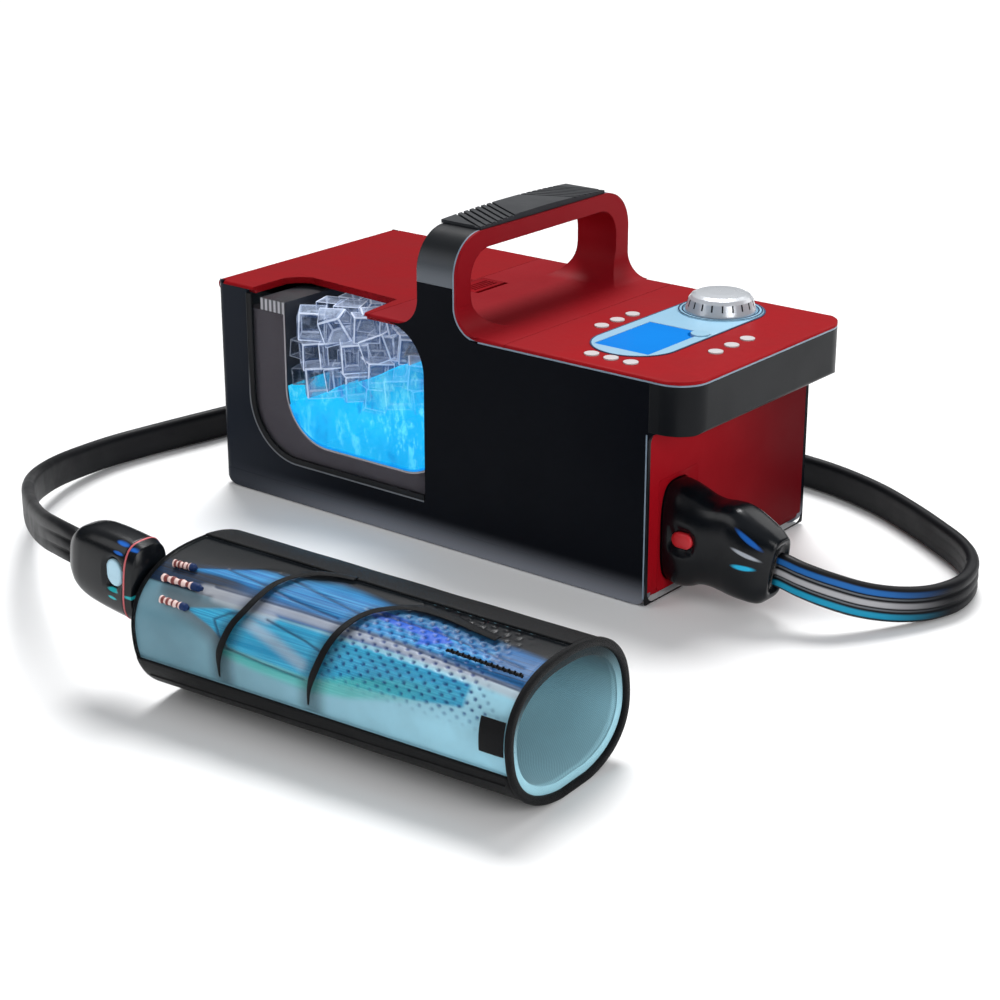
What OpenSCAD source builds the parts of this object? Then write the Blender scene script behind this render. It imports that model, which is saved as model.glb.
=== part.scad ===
// Hot and cold therapy machine: a control unit with an ice reservoir, a flat
// three-tube hose and a tube-shaped limb sleeve that lies beside the unit.
// The near side of the reservoir and a corner of its lid are cut away, and a
// clear panel closes the side. Millimetres, +Z up, +X towards the control deck.

/* [Control unit] */
// Length of the unit, from its back to the front band
unit_len = 413; // [395:1:440]
// Width over the two side shells
unit_w = 196; // [188:1:210]
// Height of the deck above the floor
deck_h = 157; // [152:1:170]
// How far the deck and its band overhang the front face
overhang = 29.5; // [26:0.5:34]
// Height of the front band, measured down from the deck
band_h = 36; // [32:1:42]
// Wall of the moulded shells
shell_t = 3; // [2:0.5:4]
// Thickness of the deck, the saddle cover and the lid
deck_t = 5; // [4.5:0.5:7]
// Thickness of the deck's lip over the shells
lip_t = 2.2; // [1.8:0.1:2.8]
// Height of the bead under the deck's lip
bead_h = 1.2; // [0.8:0.1:1.6]
// Depth of each side shell, measured from its outer face
shell_depth = 24; // [18:1:30]
// Plan radius of the front corners
front_r = 22; // [16:1:26]
// Plan radius of the back corners
back_r = 8; // [6:1:10]
// Radius along the bottom edges
sole_r = 8; // [6:1:10]
// Height of the rubber feet
foot_h = 3; // [2:0.5:5]
// Radius of the rubber feet
foot_r = 9; // [7:0.5:11]

/* [Handle] */
// Distance from the unit's back to the back of the handle
handle_back = 192.5; // [188:0.5:196]
// Width of the handle along the unit
handle_w = 34.5; // [30:0.5:38]
// Height of the handle bar's top above the deck
handle_rise = 65; // [60:1:75]
// Outer corner radius of the handle
handle_r = 28; // [22:1:32]
// Thickness of each handle leg
leg_t = 15; // [12:0.5:18]
// Thickness of the handle bar
bar_t = 12; // [10:0.5:14]
// Corner radius at the top of the finger opening
finger_r = 20; // [14:1:22]
// Radius where a leg flares into the deck across the unit
root_r = 25; // [18:1:28]
// Radius where a leg flares into the deck along the unit
flare_r = 18; // [14:1:19]
// Thickness of the gloss band over the handle
band_t = 3; // [2:0.5:4]
// Height of the band's seam above the deck
seam_rise = 30; // [26:1:34]
// Length of the rubber grip
grip_len = 140; // [120:1:144]
// Thickness of the rubber grip at its ends
grip_t = 2.4; // [1.5:0.1:3.5]
// Extra height of the grip's crown
grip_crown = 2; // [1:0.1:3]
// Slanted grooves on each half of the grip
grip_grooves = 7; // [4:1:9]

/* [Reservoir and lid] */
// Distance from the unit's back to the lid's front edge
lid_len = 148.5; // [146:0.5:152]
// Radius of the lid's hinge barrel
hinge_r = 4; // [3.5:0.1:4.5]
// Radius of the hinge pin
pin_r = 1.5; // [1:0.1:2]
// Distance from the unit's back to the cut-out in the side shell
cut_back = 31.5; // [28:0.5:36]
// Length of the cut-out
cut_len = 166; // [160:1:170]
// Height of the cut-out's lower edge above the floor
cut_low = 31; // [28:1:36]
// Radius of the cut-out's lower back corner
cut_r = 45; // [35:1:50]
// Thickness of the insulation at the back of the tank
foam_back = 32; // [26:1:36]
// Thickness of the insulation under the tank
foam_low = 15; // [12:1:20]
// Thickness of the insulation on the far side
foam_far = 13; // [10:1:16]
// Wall of the tank liner
liner_t = 1.5; // [1:0.1:2]
// Length of the tank inside the insulation
tank_len = 153; // [148:1:156]
// Lower corner radius of the tank
tank_r = 40; // [30:1:42]
// Height of the tank's rim
rim_h = 9; // [7:0.5:10]
// Water level above the tank floor at the back
water_low = 34; // [28:1:38]
// Slope of the water, which sways in the tank, in degrees
water_tilt = 22; // [16:1:23]
// Size of one ice cube
cube_size = 20; // [18:0.5:20.5]

/* [Control deck] */
// Distance from the deck's front edge to the split line
split_back = 145.5; // [142:0.5:148]
// Distance from the front edge to the middle of the display plate
plate_back = 79.5; // [78:0.5:81]
// Length of the display plate across the unit
plate_len = 160; // [154:1:166]
// Width of the display plate
plate_w = 60; // [57:1:62]
// How far the display plate stands off the middle of the deck
plate_shift = 9; // [7:0.5:11]
// Display, size across and along the unit
lcd_size = [64, 43]; // [38:1:66]
// Radius of the knob at its foot
knob_r = 24.5; // [22:0.5:26]
// Height of the knob
knob_h = 13; // [11:0.5:18]
// Radius of the round buttons
button_r = 5; // [4:0.1:5.5]
// Distance between buttons in the rows across the unit
button_pitch = 18; // [16:0.5:19]
// Travel of the buttons
button_travel = 0.8; // [0.5:0.1:1]
// Radius of the select button
select_r = 6.5; // [5.5:0.1:7]

/* [Hose and plugs] */
// Width of the flat hose
hose_w = 24; // [20:0.5:26]
// Thickness of the flat hose
hose_t = 9.6; // [8:0.2:12]
// Length of the unit plug outside the front face
plug_len = 77.5; // [72:0.5:84]
// Height of the unit plug at the front face
plug_h = 68; // [62:1:70]
// Thickness of the unit plug
plug_t = 36; // [32:1:38]
// Height of the unit plug's middle above the floor
plug_z = 45; // [42:1:48]
// Travel of the release buttons
release_travel = 1.5; // [1:0.1:2]
// Length of the wrap plug
tail_len = 44; // [40:1:50]
// Height of the wrap plug at its seam
tail_h = 50; // [44:1:52]
// Thickness of the wrap plug
tail_t = 30; // [27:1:32]

/* [Limb sleeve] */
// Length of the sleeve
wrap_len = 262; // [240:1:290]
// Width of the sleeve at its open end
wrap_w = 118; // [112:1:126]
// Height of the sleeve at its open end
wrap_h = 87; // [82:1:94]
// Size of the hose end compared with the open end
wrap_taper = 1.045; // [1:0.005:1.08]
// Thickness of the outer fabric
fabric_t = 1.5; // [1:0.1:2]
// Thickness of the filled bladder
bladder_t = 6; // [5:0.2:7]
// Thickness of the lining
lining_t = 1.6; // [1.2:0.1:2.2]
// Channels round the bladder
channels = 12; // [8:1:16]
// Direction of the sleeve, in degrees from the unit's length
wrap_turn = 3.5; // [0:0.5:6]

/* [Hidden] */

$fn = 64;
fit = 0.3;          // gap between pieces that sit together
slide_fit = 0.08;   // radial gap of a running fit
eps = 0.01;

// Unit, seen from the side
x_rear = -unit_len / 2;
x_front = unit_len / 2;
x_face = x_front - overhang;
y_side = unit_w / 2;
band_low = deck_h - band_h;
lip_z = deck_h - lip_t;
bead_z = lip_z - bead_h;
deck_under = deck_h - deck_t;
deck_edge_r = lip_t;
band_edge_r = 3;

// Handle
hx0 = x_rear + handle_back;
hx1 = hx0 + handle_w;
handle_top = deck_h + handle_rise;
finger_top = handle_top - bar_t;
seam_z = deck_h + seam_rise;
finger_y = y_side - leg_t;

// Lid and its hinge
lid_front = x_rear + lid_len;
hinge_x = x_rear + hinge_r;
hinge_z = deck_h - hinge_r;
lid_side_back = hinge_x + hinge_r + fit;
lid_swing = 2;    // gap that the lid's back edge needs as it swings

// Reservoir
cut_x0 = x_rear + cut_back;
cut_x1 = cut_x0 + cut_len;
cut_top = lip_z - fit;
cut_swoop = 34;
tank_x0 = cut_x0 + foam_back;
tank_x1 = tank_x0 + tank_len;
tank_z0 = cut_low + foam_low;
foam_x0 = cut_x0 - 4;
foam_x1 = tank_x1 + 12;
foam_z0 = cut_low - 4;
rim_top = deck_under - 2.5;
foam_top = rim_top - rim_h;
foam_y0 = -y_side + shell_t + fit;
foam_y1 = y_side - shell_t - 2;
tank_y1 = foam_y1 - foam_far;
water_y1 = tank_y1 - liner_t - 2 * fit;
ice_z0 = tank_z0 + water_low + 2;
ice_layers = 3;

// Control deck
split_x = x_front - split_back;
plate_x = x_front - plate_back;
knob_y = plate_shift + (plate_len - plate_w) / 2;
lcd_y = plate_shift - plate_len / 2 + 12 + lcd_size.x / 2;
plate_top = deck_h + 0.5;
button_flange = 1;
row_gap = 12;
button_spots = [
    for (k = [-1, 0, 1]) [plate_x - plate_w / 2 - row_gap, -4.5 - k * button_pitch],
    for (k = [-1, 0, 1]) [plate_x + 6.5 + k * 15.5, plate_shift - plate_len / 2 - 8],
    for (k = [-1, 0, 1]) [plate_x + plate_w / 2 + row_gap * 1.8, -6.5 - k * (button_pitch + 1)]
];
select_spot = [plate_x + 22, lcd_y + lcd_size.x / 2 - 4];

// Electronics bay
bay_x0 = foam_x1 + 3;
board_z = deck_under - 9.6;
pump_x = (bay_x0 + x_face) / 2 - 8;
pump_y = 6;
pump_z = foot_h + shell_t + 32;
motor_x = pump_x + 17;

// Unit plug: each row is distance from the face, top, bottom and thickness, as shares.
// It drops and leans outward at the top towards its end
plug_y = -y_side + 36;
plug_sunk = 5.2;
plug_base = x_face - plug_sunk;
socket_z = plug_z;
plug_shape = [
    [0.00, 1.00, 0.98, 0.90], [0.06, 1.03, 1.01, 0.98], [0.16, 1.01, 1.06, 1.00],
    [0.26, 0.94, 1.01, 0.98], [0.36, 0.87, 0.90, 0.93], [0.46, 0.86, 0.86, 0.90],
    [0.56, 0.91, 0.86, 0.92], [0.66, 0.93, 0.86, 0.97], [0.73, 0.89, 0.85, 0.98],
    [0.80, 0.83, 0.83, 0.96], [0.87, 0.77, 0.81, 0.88], [0.94, 0.71, 0.75, 0.76],
    [1.00, 0.62, 0.60, 0.62]
];
plug_drop = 9;
plug_lean = 0.17;
hose_exit = [x_face + plug_len, plug_y, plug_z - plug_drop];

// Sleeve frame: its origin is on the floor under the middle of the open end
wrap_at = [287.5, -329, 0];
wrap_power = 2.35;
slump = 0.12;
flat_cut = 0.5;
window_t0 = -12;
window_t1 = 84;
layer_gap = 0.35;
g_fabric = -fabric_t;
g_bladder = g_fabric - layer_gap;
g_lining = g_bladder - bladder_t - layer_gap;
g_bore = g_lining - lining_t;
rim_out = 5;
rim_grow = 0.6;
rim_steps = 44;

// Wrap socket and plug: their axis starts at the sleeve's hose end
tail_angle = 48;
tail_sink = 9;
tail_tilt = 6;
socket_end = 22;
ring_t = 1.6;
tail_shape = [
    [0.00, 1.00, 1.00], [0.25, 1.00, 1.00], [0.50, 0.98, 1.00], [0.68, 0.94, 0.98],
    [0.80, 0.87, 0.95], [0.90, 0.77, 0.87], [1.00, 0.60, 0.70]
];

function spow(v, p) = sign(v) * pow(abs(v), p);

// A point of the sleeve: s from the open end, t the angle (0 near, 90 top), g the growth
function sleeve_point(s, t, g) =
    let (k = 1 + (wrap_taper - 1) * s / wrap_len,
         b = wrap_h / 2 * k,
         y = -(wrap_w / 2 * k + g) * spow(cos(t), 2 / wrap_power),
         z = (b + g) * spow(sin(t), 2 / wrap_power))
    [-s, y - slump * z, max(b - flat_cut + z, -g, 0)];

function turned(p) = [
    wrap_at.x + p.x * cos(wrap_turn) - p.y * sin(wrap_turn),
    wrap_at.y + p.x * sin(wrap_turn) + p.y * cos(wrap_turn),
    p.z
];

tail_start = turned(sleeve_point(wrap_len, tail_angle, -tail_sink));
tail_end = tail_start + (socket_end + ring_t + tail_len + fit / 2) * [-cos(tail_tilt), 0, sin(tail_tilt)];

// Origin: middle of the unit and the sleeve together, seen from above
wrap_reach = [for (j = [0:rim_steps - 1], s = [-rim_out, wrap_len + rim_out])
              turned(sleeve_point(s, 360 * j / rim_steps, rim_grow))];
span_x = [min(x_rear, min([for (p = wrap_reach) p.x])), max(x_front, max([for (p = wrap_reach) p.x]))];
span_y = [min([for (p = wrap_reach) p.y]), y_side];
origin = [(span_x[0] + span_x[1]) / 2, (span_y[0] + span_y[1]) / 2];

// Route of the hose: out of the plug, down to the floor, round behind the unit
// and up into the wrap plug
hose_route = [
    hose_exit,
    [272, -61.5, 33], [288, -55, 28], [304, -41, 21], [319, -22, 15.5], [331, 0, 12.5],
    [338, 24, 12.5], [334, 50, 12.5], [323, 71, 12.5], [306, 89, 12.5], [282, 106, 12.5],
    [250, 126, 12.5], [212, 146, 12.5], [170, 160, 12.5], [128, 166, 12.5], [80, 168, 12.5],
    [30, 168, 12.5], [-22, 168, 12.5], [-74, 166, 12.5], [-124, 161, 12.5], [-170, 149, 12.5],
    [-210, 127, 12.5], [-242, 95, 12.5], [-263, 55, 12.5], [-275, 11, 12.5], [-284, -34, 12.5],
    [-292, -80, 12.5], [-297, -124, 13], [-292, -163, 15.5], [-278, -200, 20.5], [-255, -236, 27],
    [-223, -269, 36], [-183, -302, 47], [-142, -332, 57.5], [-101, -358, 68], [-66, -376, 76.5],
    tail_end
];

// ---------------------------------------------------------------- outlines

// Child outline in x and z, run from y0 to y1
module along_y(y0, y1) translate([0, y1, 0]) rotate([90, 0, 0]) linear_extrude(y1 - y0) children();

// Child outline in y and z, run from x0 to x1
module along_x(x0, x1) translate([x0, 0, 0]) rotate([90, 0, 90]) linear_extrude(x1 - x0) children();

// Child outline in x and y, run from z0 to z1
module along_z(z0, z1) translate([0, 0, z0]) linear_extrude(z1 - z0) children();

module block(lo, hi) translate(lo) cube(hi - lo);

// Rectangle with one radius for its two low corners and one for its two high ones
module slab2d(lo, hi, r_lo, r_hi) {
    translate([lo.x, lo.y + r_lo]) square([hi.x - lo.x, hi.y - lo.y - r_lo - r_hi]);
    translate([lo.x + r_lo, lo.y]) square([hi.x - lo.x - 2 * r_lo, r_lo + eps]);
    translate([lo.x + r_hi, hi.y - r_hi - eps]) square([hi.x - lo.x - 2 * r_hi, r_hi + eps]);
    for (x = [lo.x + r_lo, hi.x - r_lo]) translate([x, lo.y + r_lo]) circle(r_lo);
    for (x = [lo.x + r_hi, hi.x - r_hi]) translate([x, hi.y - r_hi]) circle(r_hi);
}

// What fills a square inner corner to a fillet of radius r
module fillet2d(r) difference() {
    square(r);
    translate([r, r]) circle(r);
}

module stadium2d(length, width) {
    square([width, length - width], center = true);
    for (s = [-1, 1]) translate([0, s * (length - width) / 2]) circle(width / 2);
}

module plan2d(g) rotate(-90)
    slab2d([-y_side + g, x_rear + g], [y_side - g, x_front - g], max(back_r - g, 1), max(front_r - g, 1));

module end2d(g) slab2d([-y_side + g, foot_h + g], [y_side - g, deck_h - g], max(sole_r - g, 1),
                       max(deck_edge_r - g, 0.4));

module side2d(g) {
    slab2d([x_rear + g, foot_h + g], [x_face - g, deck_h - g], max(sole_r - g, 1), max(deck_edge_r - g, 0.4));
    slab2d([x_face - 60, band_low + g], [x_front - g, deck_h - g], max(band_edge_r - g, 0.4),
           max(deck_edge_r - g, 0.4));
}

// The unit's whole outer form, drawn in by g
module envelope(g) intersection() {
    along_z(0, deck_h + 1) plan2d(g);
    along_y(-unit_w, unit_w) side2d(g);
    along_x(-unit_len, unit_len) end2d(g);
}

// Side outline of the handle legs: d draws in the front edge and its flare
module leg2d(d, z0, z1) {
    translate([hx0, z0]) square([hx1 - d - hx0, z1 - z0]);
    intersection() {
        translate([hx0 - unit_len, z0]) square([2 * unit_len, z1 - z0]);
        union() {
            translate([hx1 - d - eps, deck_h - d - eps]) fillet2d(flare_r + d);
            translate([hx0 + eps, lip_z - eps]) mirror([1, 0]) fillet2d(flare_r + lip_t);
        }
    }
}

// End outline of the handle arch, drawn in by g
module arch2d(g) slab2d([-y_side + g, 0], [y_side - g, handle_top - g], 1, handle_r - g);

// Finger opening under the bar, with its flared roots
module finger2d() difference() {
    slab2d([-finger_y, deck_h - 1], [finger_y, finger_top], 0.5, finger_r);
    for (s = [0, 1]) mirror([s, 0]) translate([-finger_y, deck_h]) fillet2d(root_r);
    translate([-unit_w, 0]) square([2 * unit_w, deck_h]);
}

// Cut-out of the near side shell, drawn in by g
module cut2d(g) difference() {
    translate([cut_x0 + g, cut_low + g]) square([cut_len - 2 * g, cut_top + fit - cut_low - 2 * g]);
    translate([cut_x0 + g, cut_low + g]) fillet2d(cut_r - g);
    translate([cut_x1 - g, cut_top + fit - g]) mirror([1, 0]) mirror([0, 1]) fillet2d(cut_swoop);
}

// Inside of the tank, drawn in by g
module tank2d(g, top) difference() {
    translate([tank_x0 + g, tank_z0 + g]) square([tank_len - 2 * g, top - tank_z0 - g]);
    translate([tank_x0 + g, tank_z0 + g]) fillet2d(tank_r - g);
    translate([tank_x1 - g, tank_z0 + g]) mirror([1, 0]) fillet2d(tank_r - g);
}

// ---------------------------------------------------------------- housing

module side_skin(side) {
    // outer skin of one side: side is -1 near, 1 far
    y_a = side < 0 ? -y_side - 1 : y_side - shell_depth;
    difference() {
        intersection() {
            envelope(0);
            union() {
                block([x_rear - 1, y_a, 0], [x_face, y_a + shell_depth + 1, bead_z]);
                block([x_rear - 1, y_a, bead_z - 1], [hx0, y_a + shell_depth + 1, lip_z]);
                block([x_rear - 1, y_a, lip_z - 1], [lid_side_back - lid_swing, y_a + shell_depth + 1, deck_h]);
            }
        }
        envelope(shell_t);
        block([x_rear + shell_t, -y_side + shell_t, deck_h - 20], [x_face, y_side - shell_t, deck_h + 1]);
        block([x_rear - 1, -y_side + shell_t, hinge_z - hinge_r - fit],
              [hinge_x + hinge_r + fit, y_side - shell_t, deck_h + 1]);
        block([x_face - shell_t, -y_side + shell_t, 0], [x_face + 1, y_side - shell_t, band_low + shell_t + fit]);
        translate([hinge_x, 0, hinge_z]) rotate([90, 0, 0])
            cylinder(r = pin_r + slide_fit, h = 2 * (y_side - shell_t / 2), center = true);
        pocket_box(fit);
    }
    // leg tongue, and the gusset under the front band
    y_t = side < 0 ? -y_side : y_side - band_t;
    along_y(y_t, y_t + band_t) leg2d(lip_t + bead_h, bead_z - 2, seam_z);
    y_g = side < 0 ? -y_side : y_side - shell_t;
    along_y(y_g, y_g + shell_t) translate([x_face - eps, band_low + eps]) mirror([0, 1]) fillet2d(8);
}

module side_shell_near() color("#16181c") difference() {
    side_skin(-1);
    along_y(-y_side - 1, -y_side + shell_depth) cut2d(0);
}

module side_shell_far() color("#16181c") difference() {
    side_skin(1);
    translate([inlet_at.x, y_side - shell_t - 1, inlet_at.z]) rotate([-90, 0, 0])
        cylinder(r = inlet_r + fit, h = shell_t + 2);
}

module base_pan() color("#1b1d21") difference() {
    intersection() {
        envelope(0);
        block([x_rear - 1, -y_side + shell_depth + fit, 0], [x_face - shell_t - fit, y_side - shell_depth - fit, 26]);
    }
    envelope(shell_t);
    pocket_box(fit);
    for (p = foot_spots) translate([p.x, p.y, foot_h - 1]) cylinder(r = foot_r + fit, h = 1 + foot_sunk);
    for (p = screw_spots) translate([p.x, p.y, 0]) {
        cylinder(r = screw_head_r + fit, h = foot_h + 2);
        cylinder(r = screw_r + 0.2, h = 12);
    }
}

// Outside of the plug's pocket, grown by g
pocket_y = [plug_y - plug_t / 2 - 4, plug_y + plug_t / 2 + 5];
pocket_z = [plug_z - plug_h / 2 - 3, plug_z + plug_h / 2 + 5];
module pocket_box(g) block([x_face - 9 - g, pocket_y[0] - 2 - g, pocket_z[0] - 2 - g],
                           [x_face - 1, pocket_y[1] + 2 + g, pocket_z[1] + 2 + g]);

module rear_panel() color("#1b1d21") difference() {
    intersection() {
        envelope(0);
        block([x_rear - 1, -y_side + shell_depth + fit, 26 + fit],
              [x_rear + shell_t, y_side - shell_depth - fit, hinge_z - hinge_r - fit]);
    }
    for (k = [0:5]) block([x_rear - 1, -33 + 12 * k, 44], [x_rear + 10, -27 + 12 * k, 62]);
}

module front_panel() color("#a31621") {
    difference() {
        union() {
            intersection() {
                envelope(0);
                block([x_face - shell_t, -y_side + shell_t + fit, 0],
                      [x_face, y_side - shell_t - fit, band_low + shell_t]);
            }
            pocket_box(0);
        }
        block([x_face - 6.5, pocket_y[0], pocket_z[0]], [x_face + 1, pocket_y[1], pocket_z[1]]);
        block([x_face - 12, plug_y - socket_size.x / 2 - fit, socket_z - socket_size.y / 2 - fit],
              [x_face, plug_y + socket_size.x / 2 + fit, socket_z + socket_size.y / 2 + fit]);
    }
}

module deck_piece(x0, x1) intersection() {
    block([x0, -unit_w, 0], [x1, unit_w, deck_h + 1]);
    union() {
        intersection() {
            envelope(0);
            block([-unit_len, -unit_w, lip_z], [unit_len, unit_w, deck_h + 1]);
        }
        along_z(deck_under, lip_z + eps) plan2d(shell_t + fit);
    }
}

module top_cover() color("#b01c28") {
    difference() {
        union() {
            deck_piece(lid_front + fit, split_x - fit / 2);
            intersection() {
                along_y(-y_side, y_side) leg2d(0, deck_h - 1, handle_top);
                along_x(hx0 - 60, hx1 + 60) arch2d(0);
            }
        }
        along_x(hx0 - 60, hx1 + 60) finger2d();
        // the zone of the tongues, the band and the bead
        difference() {
            along_y(-y_side - 1, y_side + 1) leg2d(lip_t, lip_z, handle_top + 1);
            along_x(hx0 - 61, hx1 + 61) arch2d(band_t);
        }
        block([latch_box[0].x - fit, latch_box[0].y - fit, deck_h - 2.6],
              [latch_box[1].x + latch_travel + fit, latch_box[1].y + fit, deck_h + 1]);
        block([latch_box[0].x + 6, latch_box[0].y + 10, deck_under - 1],
              [latch_box[1].x - 6 + latch_travel, latch_box[1].y - 10, deck_h]);
    }
}

module handle_band() color("#101216") difference() {
    intersection() {
        along_y(-y_side, y_side) translate([hx0, seam_z + fit])
            square([handle_w - lip_t - bead_h, handle_top - seam_z]);
        along_x(hx0, hx1) arch2d(0);
    }
    along_x(hx0 - 1, hx1 + 1) arch2d(band_t);
}

function crown(y) = handle_top + grip_t + grip_crown * (1 - pow(2 * y / grip_len, 2));

module handle_grip() color("#33363b") difference() {
    along_x(hx0 - 1.5, hx1 - lip_t + 0.6)
        polygon(concat([[grip_len / 2, handle_top], [-grip_len / 2, handle_top]],
                       [for (k = [-7:7]) [k * grip_len / 14, crown(k * grip_len / 14)]]));
    for (s = [-1, 1], k = [1:grip_grooves])
        translate([(hx0 + hx1) / 2, s * (20 + k * 6.2), crown(20 + k * 6.2) + 0.6])
            rotate([0, 0, s * 28]) cube([handle_w + 12, 2, 3.4], center = true);
}

module front_band() color("#1b1d21") difference() {
    intersection() {
        envelope(0);
        block([x_face + eps, -unit_w, 0], [x_front + 1, unit_w, bead_z]);
    }
    envelope(shell_t);
    along_z(band_low + shell_t, deck_h + 1) plan2d(shell_t);
}

module edge_bead() color("#8fa3b5") {
    bead_w = 1.6;
    // along the deck and round its front
    difference() {
        intersection() {
            envelope(0);
            block([hx1 + flare_r, -unit_w, bead_z], [x_front + 1, unit_w, lip_z]);
        }
        along_z(0, deck_h + 1) plan2d(bead_w);
    }
    // up the handle flares and over the arch
    intersection() {
        along_y(-y_side, y_side) difference() {
            leg2d(lip_t, bead_z, handle_top);
            leg2d(lip_t + bead_h, bead_z - 1, handle_top + 1);
            translate([hx0 - 100, 0]) square([100 + handle_w / 2, handle_top + 1]);
            translate([hx1 + flare_r, 0]) square(unit_len);
        }
        along_x(hx0, hx1 + flare_r + 1) difference() {
            arch2d(0);
            arch2d(bead_w);
        }
    }
}

// ---------------------------------------------------------------- lid

latch_box = [[lid_front + 2, -9], [lid_front + 22, 25]];
latch_travel = 3;

module lid() color("#b01c28") {
    difference() {
        union() {
            deck_piece(lid_side_back, lid_front);
            // hinge barrel between the side shells
            translate([hinge_x, 0, hinge_z]) rotate([90, 0, 0])
                cylinder(r = hinge_r, h = unit_w - 2 * shell_t - 2 * fit, center = true);
            block([hinge_x, -y_side + shell_t + fit, deck_under], [lid_side_back + 1, y_side - shell_t - fit, deck_h]);
        }
        translate([hinge_x, 0, hinge_z]) rotate([90, 0, 0])
            cylinder(r = pin_r + slide_fit, h = unit_w, center = true);
        // cut-away corner over the cut-out
        along_z(deck_under - 1, deck_h + 1) polygon([
            [cut_x0 + 6, -y_side - 1], [cut_x0 + 6, -y_side + 48], [lid_front - 9, -y_side + 40],
            [lid_front - 4, -y_side - 1]]);
        // finger notch at the latch
        translate([lid_front, (latch_box[0].y + latch_box[1].y) / 2, deck_h])
            rotate([0, 45, 0]) cube([2.4, 16, 2.4], center = true);
    }
}

module lid_gasket() color("#9aa0a6") difference() {
    block([tank_x0 - 12, -y_side + 52, rim_top + fit], [lid_front - 4, tank_y1 + 8, deck_under - 0.1]);
    block([tank_x0 - 7, -y_side + 57, rim_top], [lid_front - 9, tank_y1 + 3, deck_under]);
}

module hinge_pin() color("silver") translate([hinge_x, 0, hinge_z]) rotate([90, 0, 0])
    cylinder(r = pin_r, h = 2 * (y_side - shell_t / 2) - 2 * fit, center = true);

module latch_button() color("#a31621") difference() {
    union() {
        block([latch_box[0].x, latch_box[0].y, deck_h - 2.4], [latch_box[1].x, latch_box[1].y, deck_h]);
        block([latch_box[0].x + 6.5, latch_box[0].y + 10.5, deck_under - 3],
              [latch_box[1].x - 6.5, latch_box[1].y - 10.5, deck_h - 2]);
    }
    for (k = [0:3]) block([latch_box[0].x + 6 + 3 * k, latch_box[0].y + 4, deck_h - 0.7],
                          [latch_box[0].x + 7.4 + 3 * k, latch_box[1].y - 4, deck_h + 1]);
}

// ---------------------------------------------------------------- reservoir

module insulation() color("#4a4c50") difference() {
    along_y(foam_y0, foam_y1) difference() {
        translate([foam_x0, foam_z0]) square([foam_x1 - foam_x0, foam_top - foam_z0]);
        translate([foam_x0, foam_z0]) fillet2d(cut_r);
    }
    along_y(foam_y0 - 1, tank_y1) tank2d(0, foam_top + 1);
}

module tank_liner() color("#b9c0c6") {
    along_y(foam_y0, tank_y1 - fit) difference() {
        tank2d(fit, foam_top + fit);
        tank2d(fit + liner_t, foam_top + 1);
    }
    along_y(tank_y1 - fit - liner_t, tank_y1 - fit) tank2d(fit, foam_top + fit);
    // rim round the mouth
    difference() {
        block([tank_x0 - 22, foam_y0, foam_top + fit], [tank_x1 + 10, foam_y1, rim_top]);
        block([tank_x0 + fit + liner_t, foam_y0 - 1, foam_top], [tank_x1 - fit - liner_t, tank_y1 - fit - liner_t, deck_h]);
    }
}

module side_window() color([0.8, 0.9, 1, 0.35])
    along_y(-y_side, -y_side + shell_t) cut2d(fit);

function water_height(x) = tank_z0 + water_low + (x - tank_x0) * tan(water_tilt);

module ice_cube(col, row, layer, grow) {
    pitch = cube_size * 1.5;
    turn = (col * 37 + row * 23 + layer * 41) % 90;
    x = tank_x0 + liner_t + pitch * (0.5 + col);
    y = foam_y0 + pitch * (0.48 + row);
    translate([x, y, ice_z0 + layer * (cube_size + 0.2) + cube_size / 2])
        rotate([0, 0, turn]) cube(cube_size + 2 * grow, center = true);
}

module ice_pile(grow) {
    pitch = cube_size * 1.5;
    cols = floor((tank_len - 2 * liner_t - 2 * fit) / pitch);
    rows = floor((tank_y1 - foam_y0 - liner_t) / pitch);
    for (col = [0:cols - 1], row = [0:rows - 1], layer = [0:ice_layers - 1])
        if (ice_z0 + (layer + 1) * (cube_size + 0.2) < rim_top - 5) ice_cube(col, row, layer, grow);
}

module water() color([0.1, 0.6, 0.95, 0.6]) difference() {
    intersection() {
        along_y(foam_y0 + fit, water_y1) tank2d(2 * fit + liner_t, foam_top);
        along_y(foam_y0, water_y1) polygon([
            [tank_x0, tank_z0], [tank_x1, tank_z0],
            [tank_x1, min(water_height(tank_x1), foam_top)],
            [tank_x0 + (foam_top - tank_z0 - water_low) / tan(water_tilt), foam_top],
            [tank_x0, water_height(tank_x0)]]);
    }
    ice_pile(0.2);
    translate([filter_at.x, filter_at.y, tank_z0]) cylinder(r = filter_r + fit, h = foam_top);
}

module ice_cubes() color([0.85, 0.93, 1, 0.7]) ice_pile(0);

filter_r = 8;
filter_at = [tank_x1 - tank_r - 4, tank_y1 - 16];

module intake_filter() color("white")
    translate([filter_at.x, filter_at.y, tank_z0 + 2 * fit + liner_t]) difference() {
        cylinder(r = filter_r, h = 26);
        translate([0, 0, 2]) cylinder(r = filter_r - 1.5, h = 22);
        for (a = [0:45:315]) rotate(a) translate([filter_r - 3, -1, 4]) cube([5, 2, 18]);
    }

// ---------------------------------------------------------------- pumps and electronics

foot_sunk = 1.2;
screw_r = 1.9;
screw_head_r = 3.6;
foot_spots = [for (x = [x_rear + 24, x_face - 26], y = [-1, 1]) [x, y * (y_side - shell_depth - foot_r - 6)]];
screw_x = [x_rear + 46, -20, x_face - 48];
screw_spots = [for (x = screw_x, y = [-1, 1]) [x, y * (y_side - shell_depth - 8)]];
air_base = 22;      // half of the air pump's base, along the unit
air_clear = 14;     // from the base to the middle of the front screw
air_x = screw_x[2] - air_clear - air_base;

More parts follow.
